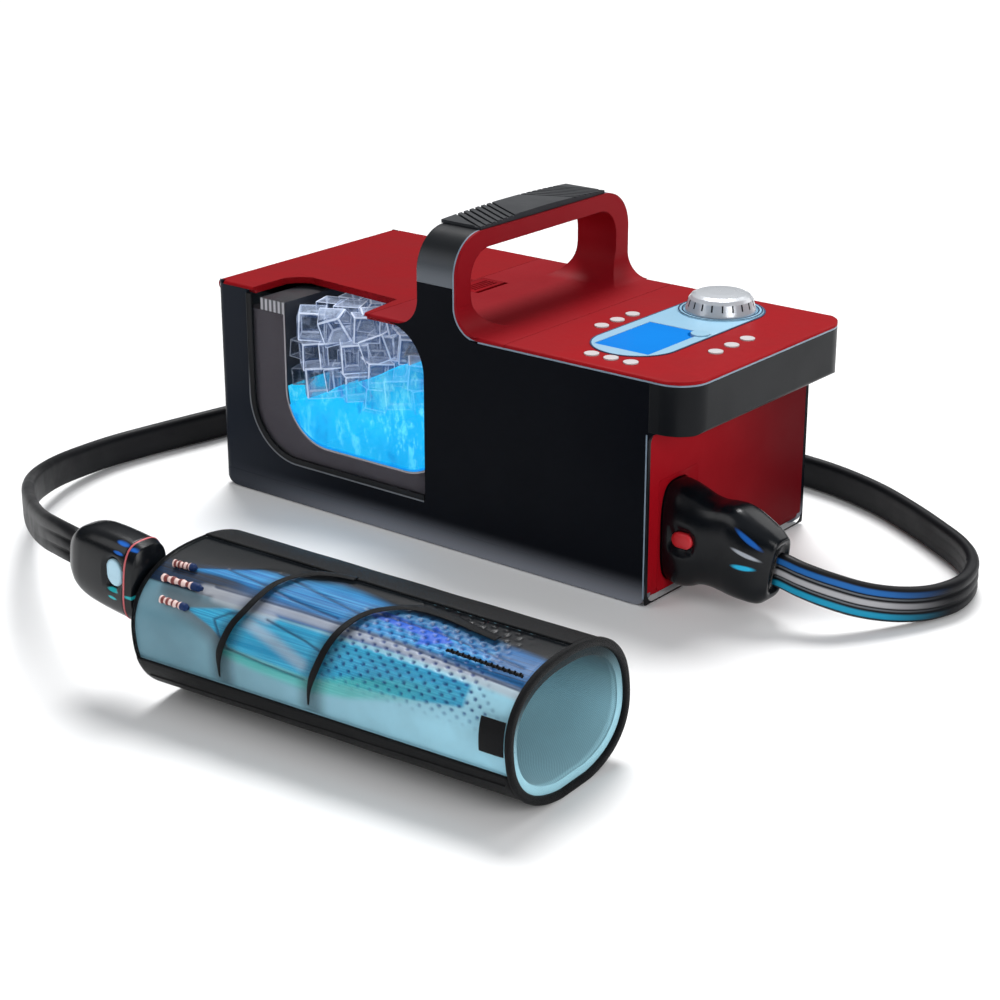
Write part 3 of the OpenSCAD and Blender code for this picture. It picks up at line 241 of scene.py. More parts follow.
# %% Unit plug
PLUG_FACE = 177.0
PLUG_SUNK = 5.2
PLUG_LENGTH = 77.5
PLUG_HEIGHT = 68.0
PLUG_THICK = 36.0
PLUG_MIDDLE = (-62.0, 45.0)
PLUG_DROP = 9.0
PLUG_SHAPE = np.array([
    (0.00, 1.00, 0.98, 0.90), (0.06, 1.03, 1.01, 0.98), (0.16, 1.01, 1.06, 1.00),
    (0.26, 0.94, 1.01, 0.98), (0.36, 0.87, 0.90, 0.93), (0.46, 0.86, 0.86, 0.90),
    (0.56, 0.91, 0.86, 0.92), (0.66, 0.93, 0.86, 0.97), (0.73, 0.89, 0.85, 0.98),
    (0.80, 0.83, 0.83, 0.96), (0.87, 0.77, 0.81, 0.88), (0.94, 0.71, 0.75, 0.76),
    (1.00, 0.62, 0.60, 0.62)])
RELEASE_AT = (191.0, 44.5)
RELEASE_SIZE = (16.0, 11.0)
SECTION_POWER = 3.2


def eased_table(table, at):
    """Each column of a table by its first column, through smooth spans without overshoot."""
    out = []
    for column in table[:, 1:].T:
        slope = np.gradient(column, table[:, 0])
        i = np.clip(np.searchsorted(table[:, 0], at, side="right") - 1, 0, len(table) - 2)
        h = table[i + 1, 0] - table[i, 0]
        from_a, from_ta, from_b, from_tb = span_weights((at - table[i, 0]) / h)
        out.append(from_a * column[i] + from_ta * h * slope[i]
                   + from_b * column[i + 1] + from_tb * h * slope[i + 1])
    return out


def soft_oval(x, y, z, half_y, up, down, count=96, power=SECTION_POWER):
    """A rounded section across x: half_y to each side, up above the middle and down below it."""
    t = np.linspace(0, 2 * np.pi, count, endpoint=False)
    rise = signed_power(np.sin(t), 2 / power)
    return np.stack([np.full(count, float(x)), y + half_y * signed_power(np.cos(t), 2 / power),
                     z + np.where(rise > 0, up, down) * rise], 1)


def oval_reach(dx, dz, size):
    """Distance outside a slot-shaped key: below 0 on the key itself."""
    straight = max(size[0] - size[1], 0) / 2
    return np.hypot(np.maximum(np.abs(dx) - straight, 0), dz) - size[1] / 2


shares = np.linspace(0, 1, 76)
tops, bottoms, widths = eased_table(PLUG_SHAPE, shares)
plug_rings = []
for r, top, bottom, wide in zip(shares, tops, bottoms, widths):
    z = PLUG_MIDDLE[1] - PLUG_DROP * r**2
    ring = soft_oval(PLUG_FACE - PLUG_SUNK + r * (PLUG_LENGTH + PLUG_SUNK), PLUG_MIDDLE[0], z,
                     PLUG_THICK / 2 * wide, PLUG_HEIGHT / 2 * top, PLUG_HEIGHT / 2 * bottom)
    ring[:, 0] += PLUG_LEAN * r**3 * (ring[:, 2] - z)
    reach = oval_reach(ring[:, 0] - RELEASE_AT[0], ring[:, 2] - RELEASE_AT[1], RELEASE_SIZE)
    near = ring[:, 1] < PLUG_MIDDLE[0]
    ring[:, 1] += near * (1.2 * (1 - smooth(1.5, 6, reach)) + 2.6 * (1 - smooth(0.4, 1.2, reach)))
    plug_rings.append(ring)
nose = plug_rings[-1]
centre = nose.mean(0)
for shrink, sink in ((0.93, 0.5), (0.8, 0.2), (0.76, -1.5)):
    plug_rings.append(centre + (nose - centre) * shrink + np.array([sink, 0, 0]))
unit_plug = loft("unit_plug_body", plug_rings)
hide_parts("unit_plug")
print("unit plug points:", len(unit_plug.data.vertices))

# %% [markdown]
# At the other end the hose meets a smaller, blunter plug. It clicks into a socket on the sleeve, with a
# seam ring between them. All three share one leaning axis, so a helper places sections along it.

# %% Sleeve plug, ring and socket
TAIL_START = np.array([28.48, -385.72, 73.27])
TAIL_HIGH = 50.0
TAIL_THICK = 30.0
SOCKET_END = 9.0
RING_THICK = 1.2
TAIL_LENGTH = 50.4
SLEEVE_KEY_RISE = 4.5
TAIL_SHAPE = np.array([
    (0.00, 1.00, 1.00), (0.25, 1.00, 1.00), (0.50, 0.98, 1.00), (0.68, 0.94, 0.98),
    (0.80, 0.87, 0.95), (0.90, 0.77, 0.87), (1.00, 0.60, 0.70)])


def on_tail(s, high=1.0, wide=1.0, count=96):
    """A section of the plug's axis, s from its start towards the hose."""
    ring = soft_oval(-s, 0, 0, TAIL_THICK / 2 * wide, TAIL_HIGH / 2 * high, TAIL_HIGH / 2 * high, count)
    x = ring[:, 0] * math.cos(tail_turn) + ring[:, 2] * math.sin(tail_turn)
    z = ring[:, 2] * math.cos(tail_turn) - ring[:, 0] * math.sin(tail_turn)
    return np.stack([x, ring[:, 1], z], 1) + TAIL_START


tail_from = SOCKET_END + RING_THICK + 0.15
shares = np.linspace(0, 1, 44)
highs, wides = eased_table(TAIL_SHAPE, shares)
tail_rings = [on_tail(tail_from + 0.1, 0.95, 0.93)]
key_middle = tail_from + 8.5
for r, high, wide in zip(shares, highs, wides):
    ring = on_tail(tail_from + 0.4 + r * (TAIL_LENGTH - 0.4), high, wide)
    local = ring - TAIL_START
    reach = oval_reach(local[:, 2] - key_middle * math.sin(tail_turn) - SLEEVE_KEY_RISE,
                       local[:, 0] + key_middle, (18, 14))
    ring[:, 1] += (local[:, 1] < 0) * 2.4 * (1 - smooth(0.3, 1.4, reach))
    tail_rings.append(ring)
tail_rings.append(on_tail(tail_from + TAIL_LENGTH, 0.5, 0.6))
wrap_plug = loft("sleeve_plug_body", tail_rings)
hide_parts("wrap_plug")

seam = [on_tail(SOCKET_END + 0.15 + s, k, 1 + (k - 1) * 1.6)
        for s, k in ((0, 1.0), (0.15, 1.012), (0.45, 1.014), (0.55, 1.0), (0.65, 1.0), (0.75, 1.014),
                     (1.05, 1.012), (1.2, 1.0))]
seam_ring = loft("sleeve_plug_ring", seam)
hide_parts("wrap_plug_ring")

socket_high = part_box("wrap_socket")[1]
SOCKET_FROM = TAIL_START[0] - (socket_high.x - MIDDLE[0]) * 1000
socket_rings = [on_tail(SOCKET_FROM + (SOCKET_END - SOCKET_FROM) * k, 0.93 + 0.07 * k, 0.93 + 0.07 * k)
                for k in np.linspace(0, 1, 24)]
socket = loft("sleeve_socket_shell", socket_rings)
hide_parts("wrap_socket")


def press_key(name, middle, size, face, proud, body, lean=0.0):
    """A soft slot-shaped key on the near side, in millimetres, that rides its own joint."""
    rows = []
    for grow, out in ((-0.4, -5.0), (0.0, -4.6), (0.0, proud - 0.9), (-0.5, proud - 0.3), (-1.4, proud),
                      (-4.0, proud + 0.25)):
        short = min(size) + 2 * grow
        reach = (np.asarray(size) + 2 * grow - short) / 2
        a = np.linspace(0, 2 * np.pi, 72, endpoint=False)
        x = short / 2 * np.cos(a) + np.where(np.cos(a) >= 0, reach[0], -reach[0])
        z = short / 2 * np.sin(a) + np.where(np.sin(a) >= 0, reach[1], -reach[1]) + lean * x
        rows.append(np.column_stack([middle[0] + x, np.full(72, face - out), middle[1] + z]))
    key = loft(name, rows)
    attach(key, body)
    return key


unit_key = press_key("unit_release_key", (191.5, 44.8), (15.6, 10.6), -78.0, 1.4, "unit_release_body")
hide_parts("unit_release")
key_at = TAIL_START + np.array([-key_middle * math.cos(tail_turn), 0, key_middle * math.sin(tail_turn)])
sleeve_key = press_key("sleeve_release_key", (key_at[0], key_at[2] + SLEEVE_KEY_RISE), (12.5, 16.5),
                       -398.3, 1.6, "wrap_release_body", -0.1)
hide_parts("wrap_release")

# %% [markdown]
# The sleeve wraps a limb. It is a sewn tube: black fabric outside, a see-through panel on the near side,
# a bladder with water and air channels under it, a soft lining, and a rolled rim at each end. One
# function gives any point of it from its length s, its turn t and its growth g, so every layer follows
# the same slumped tube and none can cross another.

# %% Sleeve shape
SLEEVE_AT = (287.5, -329.0)
SLEEVE_TURN = math.radians(3.5)
SLEEVE_LENGTH = 262.0
SLEEVE_WIDE = 118.0
SLEEVE_HIGH = 87.0
SLEEVE_TAPER = 1.045
SLEEVE_POWER = 2.35
SLUMP = 0.12
FLAT_CUT = 0.5
FILM_FROM = -12.0
FILM_TO = 97.0
GROW_FILM = -0.5
GROW_BLADDER = (-1.85, -7.85)
GROW_LINING = (-8.2, -9.8)
ROUND_TO_SIDE = 0.95


def sleeve_points(s, t, g):
    """Points of the sleeve, in millimetres: s from the open end, t in degrees (0 near, 90 top), g outward."""
    s, t, g = np.broadcast_arrays(np.asarray(s, float), np.radians(t), np.asarray(g, float))
    k = 1 + (SLEEVE_TAPER - 1) * s / SLEEVE_LENGTH
    half = SLEEVE_HIGH / 2 * k
    y = -(SLEEVE_WIDE / 2 * k + g) * signed_power(np.cos(t), 2 / SLEEVE_POWER)
    z = (half + g) * signed_power(np.sin(t), 2 / SLEEVE_POWER)
    y = y - SLUMP * z
    z = np.maximum.reduce([half - FLAT_CUT + z, -g, np.zeros_like(g)])
    c, q = math.cos(SLEEVE_TURN), math.sin(SLEEVE_TURN)
    return np.stack([SLEEVE_AT[0] - s * c - y * q, SLEEVE_AT[1] - s * q + y * c, z], -1)


def quilt(name, s_list, t_list, outer, inner):
    """A closed quilted panel between two growths; outer and inner are numbers or functions of s and t."""
    s, t = np.meshgrid(s_list, t_list, indexing="ij")
    rows, count = s.shape
    whole = abs(t_list[-1] - t_list[0]) > 359
    if whole:
        s, t = s[:, :-1], t[:, :-1]
        count -= 1
    skins = []
    for grow in (outer, inner):
        g = grow(s, t) if callable(grow) else np.full_like(s, grow)
        skins.append(place(sleeve_points(s, t, g)).reshape(-1, 3))
    uv = np.stack([s.ravel() / 1000, t.ravel() / 360], 1)
    total = rows * count
    wide = count if whole else count - 1
    faces = []
    for i in range(rows - 1):
        for j in range(wide):
            a, b = i * count + j, i * count + (j + 1) % count
            c, d = a + count, b + count
            faces.append((a, b, d, c))
            faces.append((total + a, total + c, total + d, total + b))
    for i, flip in ((0, False), (rows - 1, True)):
        for j in range(wide):
            a, b = i * count + j, i * count + (j + 1) % count
            edge = (a, total + a, total + b, b)
            faces.append(edge[::-1] if flip else edge)
    if not whole:
        for j, flip in ((0, True), (count - 1, False)):
            for i in range(rows - 1):
                a, b = i * count + j, (i + 1) * count + j
                edge = (a, total + a, total + b, b)
                faces.append(edge[::-1] if flip else edge)
    return new_piece(name, np.concatenate(skins), faces, np.concatenate([uv, uv]))


def creases(s, t, count, deep):
    """Soft folds across the cloth, which die out towards both ends."""
    return deep * np.sin(s / SLEEVE_LENGTH * np.pi) * (np.sin(s * 0.11 + t * 0.05) + np.sin(t * 0.17 + count))


cloth = quilt("sleeve_cloth", np.linspace(0, SLEEVE_LENGTH, 90),
              np.linspace(FILM_TO, 360 + FILM_FROM, 150), lambda s, t: creases(s, t, 1.0, 0.12) - 0.2, -1.5)
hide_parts("wrap_sleeve")
lining = quilt("sleeve_lining", np.linspace(0, SLEEVE_LENGTH, 70), np.linspace(0, 360, 121), GROW_LINING[0],
               lambda s, t: GROW_LINING[1] + 0.35 * np.sin(s / 9) * np.sin(np.radians(t * 3)))
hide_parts("wrap_lining")
print("cloth and lining:", len(cloth.data.polygons), len(lining.data.polygons))

# %% [markdown]
# The bladder is the working part: two films welded in a pattern of dots, with channels that fan out from
# three ports. The welds pull small dimples into the puffed surface, and dark lines mark the channel walls.
# A fine grid carries them as real relief. What each spot is, such as channel, weld or painted shade beside a
# band, is stored as masks, drawn with a few lines and fans in the sleeve's own length and turn, and a finish
# colours them.

# %% Bladder masks
DOT_PITCH = 8.2
PORT_SPOTS = [(252, 65.5, 236, 67.3), (251, 52.0, 221, 52.6), (244, 35.5, 223, 34.9)]
ARC_NEAR = [(196, -6), (195, 8.5), (192, 20.5), (189, 34), (185, 46.5), (183, 60), (182, 74), (178, 84),
            (174, 90.5), (158, 95.5), (146, 97)]
ARC_FAR = [(132, -6), (130, 4.5), (125, 24), (123, 40), (121, 53.5), (118, 66), (113, 77), (99, 88),
           (86, 89.5), (73, 89), (34, 83.5)]


def line_reach(s, t, line):
    """Distance in millimetres from each grid spot to a line of (s, t) points."""
    best = np.full(s.shape, 1e9)
    for (s0, t0), (s1, t1) in zip(line[:-1], line[1:]):
        ds, dt = s1 - s0, (t1 - t0) * ROUND_TO_SIDE
        u = np.clip(((s - s0) * ds + (t - t0) * ROUND_TO_SIDE * dt) / (ds * ds + dt * dt), 0, 1)
        best = np.minimum(best, np.hypot(s - s0 - u * ds, (t - t0) * ROUND_TO_SIDE - u * dt))
    return best


def on_line(s, t, line, wide, soft=1.0):
    """Mask of a line that is wide millimetres broad with a soft edge."""
    return 1 - smooth(wide / 2, wide / 2 + soft, line_reach(s, t, line))


def in_fan(s, t, low, high, soft=1.5):
    """Mask between two edges, each a list of (s, t) from large s to small."""
    def edge(line):
        """The turn of one edge at each spot's length."""
        points = sorted(line)
        return np.interp(s, [p[0] for p in points], [p[1] for p in points])
    first, last = max(p[0] for p in low), min(p[0] for p in low)
    ends = smooth(last - soft, last + soft, s) * (1 - smooth(first - soft, first + soft, s))
    return smooth(-soft, soft, t - edge(low)) * smooth(-soft, soft, edge(high) - t) * ends


def weld_reach(s, t):
    """Distance from each spot to the nearest weld dot of a staggered pattern."""
    a = t * ROUND_TO_SIDE
    row = np.round(a / (DOT_PITCH / 2))
    shift = np.where(row % 2 == 0, 0, DOT_PITCH / 2)
    ds = (s - shift + DOT_PITCH / 2) % DOT_PITCH - DOT_PITCH / 2
    return np.hypot(ds, a - row * DOT_PITCH / 2)


s_list = np.arange(0, SLEEVE_LENGTH + 0.1, 1.05)
t_list = np.linspace(FILM_FROM, FILM_TO + 3, 112)
grid_s, grid_t = np.meshgrid(s_list, t_list, indexing="ij")
far_arc_s = np.interp(grid_t, [p[1] for p in ARC_FAR[:8]], [p[0] for p in ARC_FAR[:8]])
past_far_arc = 1 - smooth(-1, 1, grid_s - far_arc_s)
dot_start = grid_s + (grid_t < 50) * (grid_t - 50) * -0.55
dot_zone = past_far_arc * smooth(8, 26, grid_t) * smooth(16, 34, dot_start)
dots = (1 - smooth(0.9, 1.7, weld_reach(grid_s, grid_t))) * dot_zone
blue_fan = in_fan(grid_s, grid_t,
                  [(238, 66.6), (221, 68), (208, 68), (189, 66), (142, 61), (100, 60), (30, 60)],
                  [(238, 68.2), (221, 75), (208, 81), (199, 87), (166, 96), (100, 97), (30, 90)])
cyan_fan = in_fan(grid_s, grid_t,
                  [(224, 34.2), (206, 27), (200, 23), (190, 15), (136, 11), (60, 20), (30, 26)],
                  [(224, 35.8), (208, 41), (197, 45), (180, 48), (136, 48), (60, 46), (30, 44)])
green = in_fan(grid_s, grid_t, [(196, 8), (170, 4), (130, 2), (104, 6), (62, 18), (24, 36)],
               [(196, 15), (170, 13), (130, 11), (104, 22), (62, 34), (24, 42)], 3.0)
green = green * smooth(20, 120, grid_s)
WHITE_LINE = [(222, 53.4), (208, 55.4), (152, 56), (84, 55.5), (2, 47.5)]
white = np.maximum(on_line(grid_s, grid_t, WHITE_LINE, 3.2, 5.0),
                   0.9 * on_line(grid_s, grid_t, [(209, 52), (192, 51), (170, 48)], 5.0, 6.0))
white = np.maximum(white, 0.75 * on_line(grid_s, grid_t, [(180, 38), (160, 30), (138, 20)], 1.5, 7.0))
wall_lines = [[(216, 58.2), (152, 59.6), (84, 58.4), (2, 50.6)], [(219, 76), (190, 72), (166, 67), (130, 63)],
              [(190, 86), (160, 80), (120, 72)], [(193, 14), (165, 11), (136, 9)],
              [(204, 33), (196, 41), (186, 45)], [(204, 33), (198, 22), (192, 16)],
              [(120, 78), (70, 77), (10, 69)], [(170, 45), (140, 38), (126, 33)]]
walls = np.maximum.reduce([on_line(grid_s, grid_t, line, 0.5, 1.3) for line in wall_lines])
print("mask grid:", grid_s.shape, "dots:", round(float(dots.mean()), 3))

# %% Bladder mesh


def bladder_growth(s, t):
    """Puffed relief: welds and channel walls pull it in, the fans swell a little."""
    swell = 0.5 * np.maximum(blue_fan, cyan_fan) * np.abs(np.sin(np.radians(t * 14)))
    return GROW_BLADDER[0] - 0.75 + swell - 0.8 * dots - 0.5 * walls


bladder = quilt("sleeve_bladder_near", s_list, t_list, bladder_growth, GROW_BLADDER[1])
upper = smooth(49.0, 50.5, grid_t + 0.01 * (grid_s - 130))
smoke = in_fan(grid_s, grid_t, [(250, 38), (215, 22), (190, 8), (172, 20)], [(250, 50), (172, 50)], 9.0)
ARROW = [(112, 77), (76, 73.5)]
arrow = np.maximum(on_line(grid_s, grid_t, ARROW, 6.5, 0.8) * smooth(74, 75.5, grid_s),
                   smooth(-0.6, 0.6, (grid_s - 56) * 0.5 - np.abs(grid_t - 71.5) * ROUND_TO_SIDE)
                   * (1 - smooth(75, 76.5, grid_s)))
DARK_FROM = [(0, 81), (17, 83), (40, 85), (77, 88), (111, 87.5), (151, 92), (179, 86), (206, 83), (214, 81),
             (222, 78), (240, 72.5), (262, 69)]
dark_edge = np.interp(grid_s, [p[0] for p in DARK_FROM], [p[1] for p in DARK_FROM])
top_dark = smooth(-3.5, 2.5, grid_t - dark_edge)
shade = np.maximum(on_line(grid_s, grid_t, ARC_NEAR, 4.0, 11.0), on_line(grid_s, grid_t, ARC_FAR, 4.0, 11.0))
masks = {"upper": upper, "smoke": smoke, "arrow": arrow, "top": top_dark,
         "blue": blue_fan, "cyan": cyan_fan, "green": green, "white": white, "wall": walls, "dots": dots,
         "shade": shade}
for name, values in masks.items():
    keep_mask(bladder, name, np.concatenate([values.ravel(), values.ravel()]))
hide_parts("wrap_bladder")
back_bladder = quilt("sleeve_bladder_back", np.linspace(0, SLEEVE_LENGTH, 60),
                     np.linspace(FILM_TO + 3.6, 359.6 + FILM_FROM, 100), GROW_BLADDER[0] - 0.4,
                     GROW_BLADDER[1])
film = quilt("sleeve_film", np.linspace(0, SLEEVE_LENGTH, 80), np.linspace(FILM_FROM, FILM_TO, 70),
             lambda s, t: GROW_FILM + creases(s, t, 2.0, 0.1), GROW_FILM - 0.7)
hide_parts("wrap_window")
print("bladder faces:", len(bladder.data.polygons))

# %% [markdown]
# Two dark bands spiral over the film where the cloth's straps lie under it. They fade out at the bottom.
# A zip closes the pocket near the open end, and a blank tab hangs from the rim. Each is a thin ribbon that
# follows the sleeve, so it bends with it.

# %% Bands, zip and tab


def ribbon(name, line, wide, low, high, steps=90, across=9, taper=1.0):
    """A thin closed strip along a line of (s, t) points, from growth low up to high in its middle."""
    line = np.asarray(line, float)
    run = np.concatenate([[0], np.cumsum(np.hypot(np.diff(line[:, 0]), np.diff(line[:, 1]) * ROUND_TO_SIDE))])
    at = np.linspace(0, run[-1], steps)
    s = np.interp(at, run, line[:, 0])
    t = np.interp(at, run, line[:, 1])
    kernel = np.hanning(13)[1:-1] / np.hanning(13)[1:-1].sum()
    s = np.convolve(np.pad(s, 5, "edge"), kernel, "valid")
    t = np.convolve(np.pad(t, 5, "edge"), kernel, "valid")
    ds, da = np.gradient(s), np.gradient(t) * ROUND_TO_SIDE
    size = np.hypot(ds, da)
    offsets = np.linspace(-wide / 2, wide / 2, across)
    slim = (1 - (1 - taper) * (1 - smooth(0, 0.14, np.linspace(0, 1, steps))))[:, None]
    ss = s[:, None] - (da / size)[:, None] * offsets * slim
    tt = t[:, None] + (ds / size)[:, None] * offsets * slim / ROUND_TO_SIDE
    crown = low + (high - low) * (1 - (2 * offsets / wide) ** 2)[None, :].repeat(steps, 0)
    top = place(sleeve_points(ss, tt, crown)).reshape(-1, 3)
    base = place(sleeve_points(ss, tt, np.full_like(ss, low - 0.12))).reshape(-1, 3)
    total = steps * across
    faces = []
    for i in range(steps - 1):
        for j in range(across - 1):
            a = i * across + j
            faces.append((a, a + across, a + across + 1, a + 1))
            faces.append((total + a, total + a + 1, total + a + across + 1, total + a + across))
        for a, flip in ((i * across, False), (i * across + across - 1, True)):
            edge = (a, total + a, total + a + across, a + across)
            faces.append(edge[::-1] if flip else edge)
    for a0, flip in ((0, True), ((steps - 1) * across, False)):
        for j in range(across - 1):
            edge = (a0 + j, total + a0 + j, total + a0 + j + 1, a0 + j + 1)
            faces.append(edge[::-1] if flip else edge)
    uv = np.stack([np.repeat(at / run[-1], across), np.tile(np.linspace(0, 1, across), steps)], 1)
    return new_piece(name, np.concatenate([top, base]), faces, np.concatenate([uv, uv]))


bands = [ribbon("sleeve_band_hose_end", ARC_NEAR, 4.6, 0.0, 0.35, taper=0.3),
         ribbon("sleeve_band_open_end", ARC_FAR, 4.6, 0.0, 0.35, taper=0.3)]
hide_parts("wrap_bands")

ZIP_LINE = [(56, 63.2), (3, 60.8)]
zip_tape = ribbon("sleeve_zip_tape", ZIP_LINE, 2.4, 0.0, 0.15, 40, 5)
teeth_points, teeth_faces = [], []
TOOTH = (0.9, 1.5, 0.9)
for k, s in enumerate(np.arange(4, 55, 1.9)):
    t = 60.8 + (s - 3) / 53 * 2.4 + (0.85 if k % 2 else -0.85)
    base = sleeve_points(s, t, 0.1)
    out = sleeve_points(s, t, 1.1) - base
    out /= np.linalg.norm(out)
    along = sleeve_points(s + 1, t, 0.1) - base
    along /= np.linalg.norm(along)
    side = np.cross(out, along)
    start = len(teeth_points)
    for dz in (0, 1):
        pinch = 1 - 0.3 * dz
        for da, db in ((-1, -1), (1, -1), (1, 1), (-1, 1)):
            teeth_points.append(base + along * da * TOOTH[0] / 2 * pinch + side * db * TOOTH[1] / 2 * pinch
                                + out * dz * TOOTH[2])
    teeth_faces += [tuple(start + i for i in f) for f in
                    ((0, 3, 2, 1), (4, 5, 6, 7), (0, 1, 5, 4), (1, 2, 6, 5), (2, 3, 7, 6), (3, 0, 4, 7))]
teeth = new_piece("sleeve_zip_teeth", place(teeth_points), teeth_faces)
teeth.data.shade_flat()

tab = quilt("sleeve_tab", np.linspace(0.6, 16, 18), np.linspace(1.5, 25, 24),
            lambda s, t: 0.75 + 0.25 * np.sin(s / 5), 0.1)
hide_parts("wrap_label")
print("zip teeth:", len(teeth_faces) // 6)

# %% [markdown]
# The rims are cloth rolled round a cord: a full bead at the open end, where hands pull the sleeve on, and
# a tighter one at the hose end. A bead is a small round section carried round the tube's own section.

# %% Rims


def rim(name, s_middle, g_middle, half_s, half_g, wrinkle):
    """A rolled bead round the whole sleeve."""
    turn = np.linspace(0, 360, 181)[:-1]
    around = np.linspace(0, 2 * np.pi, 28, endpoint=False)
    t, a = np.meshgrid(turn, around, indexing="ij")
    swell = 1 + wrinkle * np.sin(np.radians(t * 23)) * np.sin(np.radians(t * 7 + 40))
    g = g_middle + half_g * signed_power(np.sin(a), 0.8) * swell
    s = s_middle + half_s * signed_power(np.cos(a), 0.8)
    rings = sleeve_points(s, t, g)
    rows = len(turn)
    count = len(around)
    faces = [(i * count + j, i * count + (j + 1) % count, (i + 1) % rows * count + (j + 1) % count,
              (i + 1) % rows * count + j) for i in range(rows) for j in range(count)]
    uv = np.stack([t.ravel() / 360, a.ravel() / (2 * np.pi)], 1)
    return new_piece(name, place(rings.reshape(-1, 3)), faces, uv)


open_rim = rim("sleeve_rim_open", -1.4, -2.1, 2.0, 2.7, 0.02)
lining_rim = rim("sleeve_rim_lining", -0.4, -7.2, 0.6, 2.9, 0.02)
hose_rim = rim("sleeve_rim_hose", SLEEVE_LENGTH - 0.4, -5.0, 0.9, 4.6, 0.0)
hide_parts("wrap_rims")
PIPING_LINE = [(SLEEVE_LENGTH - 1, -29), (200, -27), (100, -24), (1, -21)]
piping = ribbon("sleeve_piping", PIPING_LINE, 1.6, -0.4, 0.45, 80, 7)
print("rims and piping done")

# %% [markdown]
# Three barbed ports stand at the hose end of the bladder. Each is a row of pale ribs with a dark-blue
# collar, turned like a chess pawn: a profile of radii along a short axis that lies on the film.

# %% Ports
PORT_SIDES = 20


def port(name, s0, t0, s1, t1, radius):
    """A ribbed nozzle from (s0, t0) to (s1, t1), lying on the bladder."""
    ends = sleeve_points([s0, s1], [t0, t1], [-0.4, -0.9])
    axis = ends[1] - ends[0]
    length = np.linalg.norm(axis)
    axis /= length
    out = sleeve_points(s0, t0, 5) - ends[0]
    out -= axis * out.dot(axis)
    out /= np.linalg.norm(out)
    side = np.cross(axis, out)
    at = np.linspace(0, 1, 90)
    ribs = 0.16 * signed_power(np.sin(at * 0.8 * 5.5 * 2 * np.pi), 0.6) * (at < 0.72)
    barbs = radius * (1 - 0.16 * at) * (1 + ribs)
    barbs = np.where(at > 0.72, radius * 1.12 * (1 - 0.5 * smooth(0.9, 1.0, at)), barbs)
    barbs = np.where(at < 0.03, radius * 0.7, barbs)
    turn = np.linspace(0, 2 * np.pi, PORT_SIDES, endpoint=False)
    rings = [ends[0] + axis * u * length + r * (np.cos(turn)[:, None] * out + np.sin(turn)[:, None] * side)
             for u, r in zip(at, barbs)]
    return loft(name, rings, at)


ports = [port("sleeve_port_%d" % (k + 1), *spot, 2.1) for k, spot in enumerate(PORT_SPOTS)]
print("ports:", [p.name for p in ports])

# %% [markdown]
# The tank is cut open on the near side, so the ice and the water are what the eye meets first. The cubes
# are one bevelled cube, turned and shifted by seeded chance and pressed flat where they touch the walls.
# Each face is inset, so that a mask can paint a highlight on its edges and keep its middle clear.

# %% Ice
ICE_SEED = 7
CUBE = 21.0
TANK_LOW = np.array([-140.5, -93.2, 49.0])
TANK_HIGH = np.array([7.5, 77.5, 147.5])
TANK_ROUND = 38.0
WATER_LOW = 72.5
WATER_TILT = math.radians(24.3)


def ice_block():
    """One bevelled cube with inset faces: points, faces and an edge mask that is 1 on the bevels."""
    bm = bmesh.new()
    bmesh.ops.create_cube(bm, size=CUBE)
    bmesh.ops.bevel(bm, geom=bm.edges[:], offset=0.9, segments=2, affect="EDGES", profile=0.6)
    big = [f for f in bm.faces if f.calc_area() > CUBE * CUBE * 0.5]
    bmesh.ops.inset_individual(bm, faces=big, thickness=4.2, depth=0)
    bm.verts.index_update()
    flat = {v.index for f in big for v in f.verts}
    points = np.array([v.co[:] for v in bm.verts])
    faces = [tuple(v.index for v in f.verts) for f in bm.faces]
    edge = np.array([0.0 if v.index in flat else 1.0 for v in bm.verts])
    bm.free()
    return points, faces, edge


def water_line(x):
    """Height of the sloping water at a place along the tank."""
    return WATER_LOW + (x - TANK_LOW[0] + 2.5) * math.tan(WATER_TILT)


# The front cubes, as x, y, z, size and turn in degrees
FRONT_CUBES = [
    (-134, -86, 116, 0.62, 12), (-134, -86, 96, 0.6, 20), (-133, -86, 76, 0.6, 8),
    (-128, -81, 134, 1.0, 38), (-105, -81, 137, 1.02, 20), (-83, -74, 137, 0.9, 50),
    (-127, -81, 112, 0.95, 48),
    (-108, -80, 115, 0.9, 35), (-88, -80, 117, 1.0, 42), (-121, -81, 93, 1.1, 36), (-68, -78, 125, 0.92, 30),
    (-52, -60, 124, 0.9, 44), (-87, -81, 95, 0.9, 52), (-46, -81, 98, 1.0, 34), (-67, -81, 108, 0.95, 58),
    (-103, -80, 97, 0.8, 25), (-26, -81, 116, 0.9, 40), (-68, -81, 88, 0.8, 40), (-25, -81, 99, 0.8, 55),
]


def ice_spots(chance):
    """Places of the cubes: the front ones, then rows behind them that lie above the water."""
    step = 20.5
    spots = list(FRONT_CUBES)
    for row, y in enumerate((-60, -39, -18, 3, 24, 45, 62)):
        for col in range(8):
            for high in range(5):
                x = TANK_LOW[0] + 12 + (col + 0.5 * ((row + high) % 2)) * step
                z = TANK_LOW[2] + 18 + high * 19.0
                if z - water_line(x) > (-14 if row == 0 else 4) or z > 124:
                    spots.append((x + chance.uniform(-3, 3), y + chance.uniform(-1.5, 1.5),
                                  z + chance.uniform(-3, 3), chance.uniform(0.8, 1.02),
                                  chance.uniform(5, 85)))
    return [s for s in spots if s[0] < TANK_HIGH[0] - 6 and not in_corner(s[0], s[2], 6)]


def in_corner(x, z, inset):
    """True in the rounded lower corners of the tank."""
    dx = max(TANK_LOW[0] + TANK_ROUND - x, x - TANK_HIGH[0] + TANK_ROUND, 0)
    dz = max(TANK_LOW[2] + TANK_ROUND - z, 0)
    return math.hypot(dx, dz) > TANK_ROUND - inset


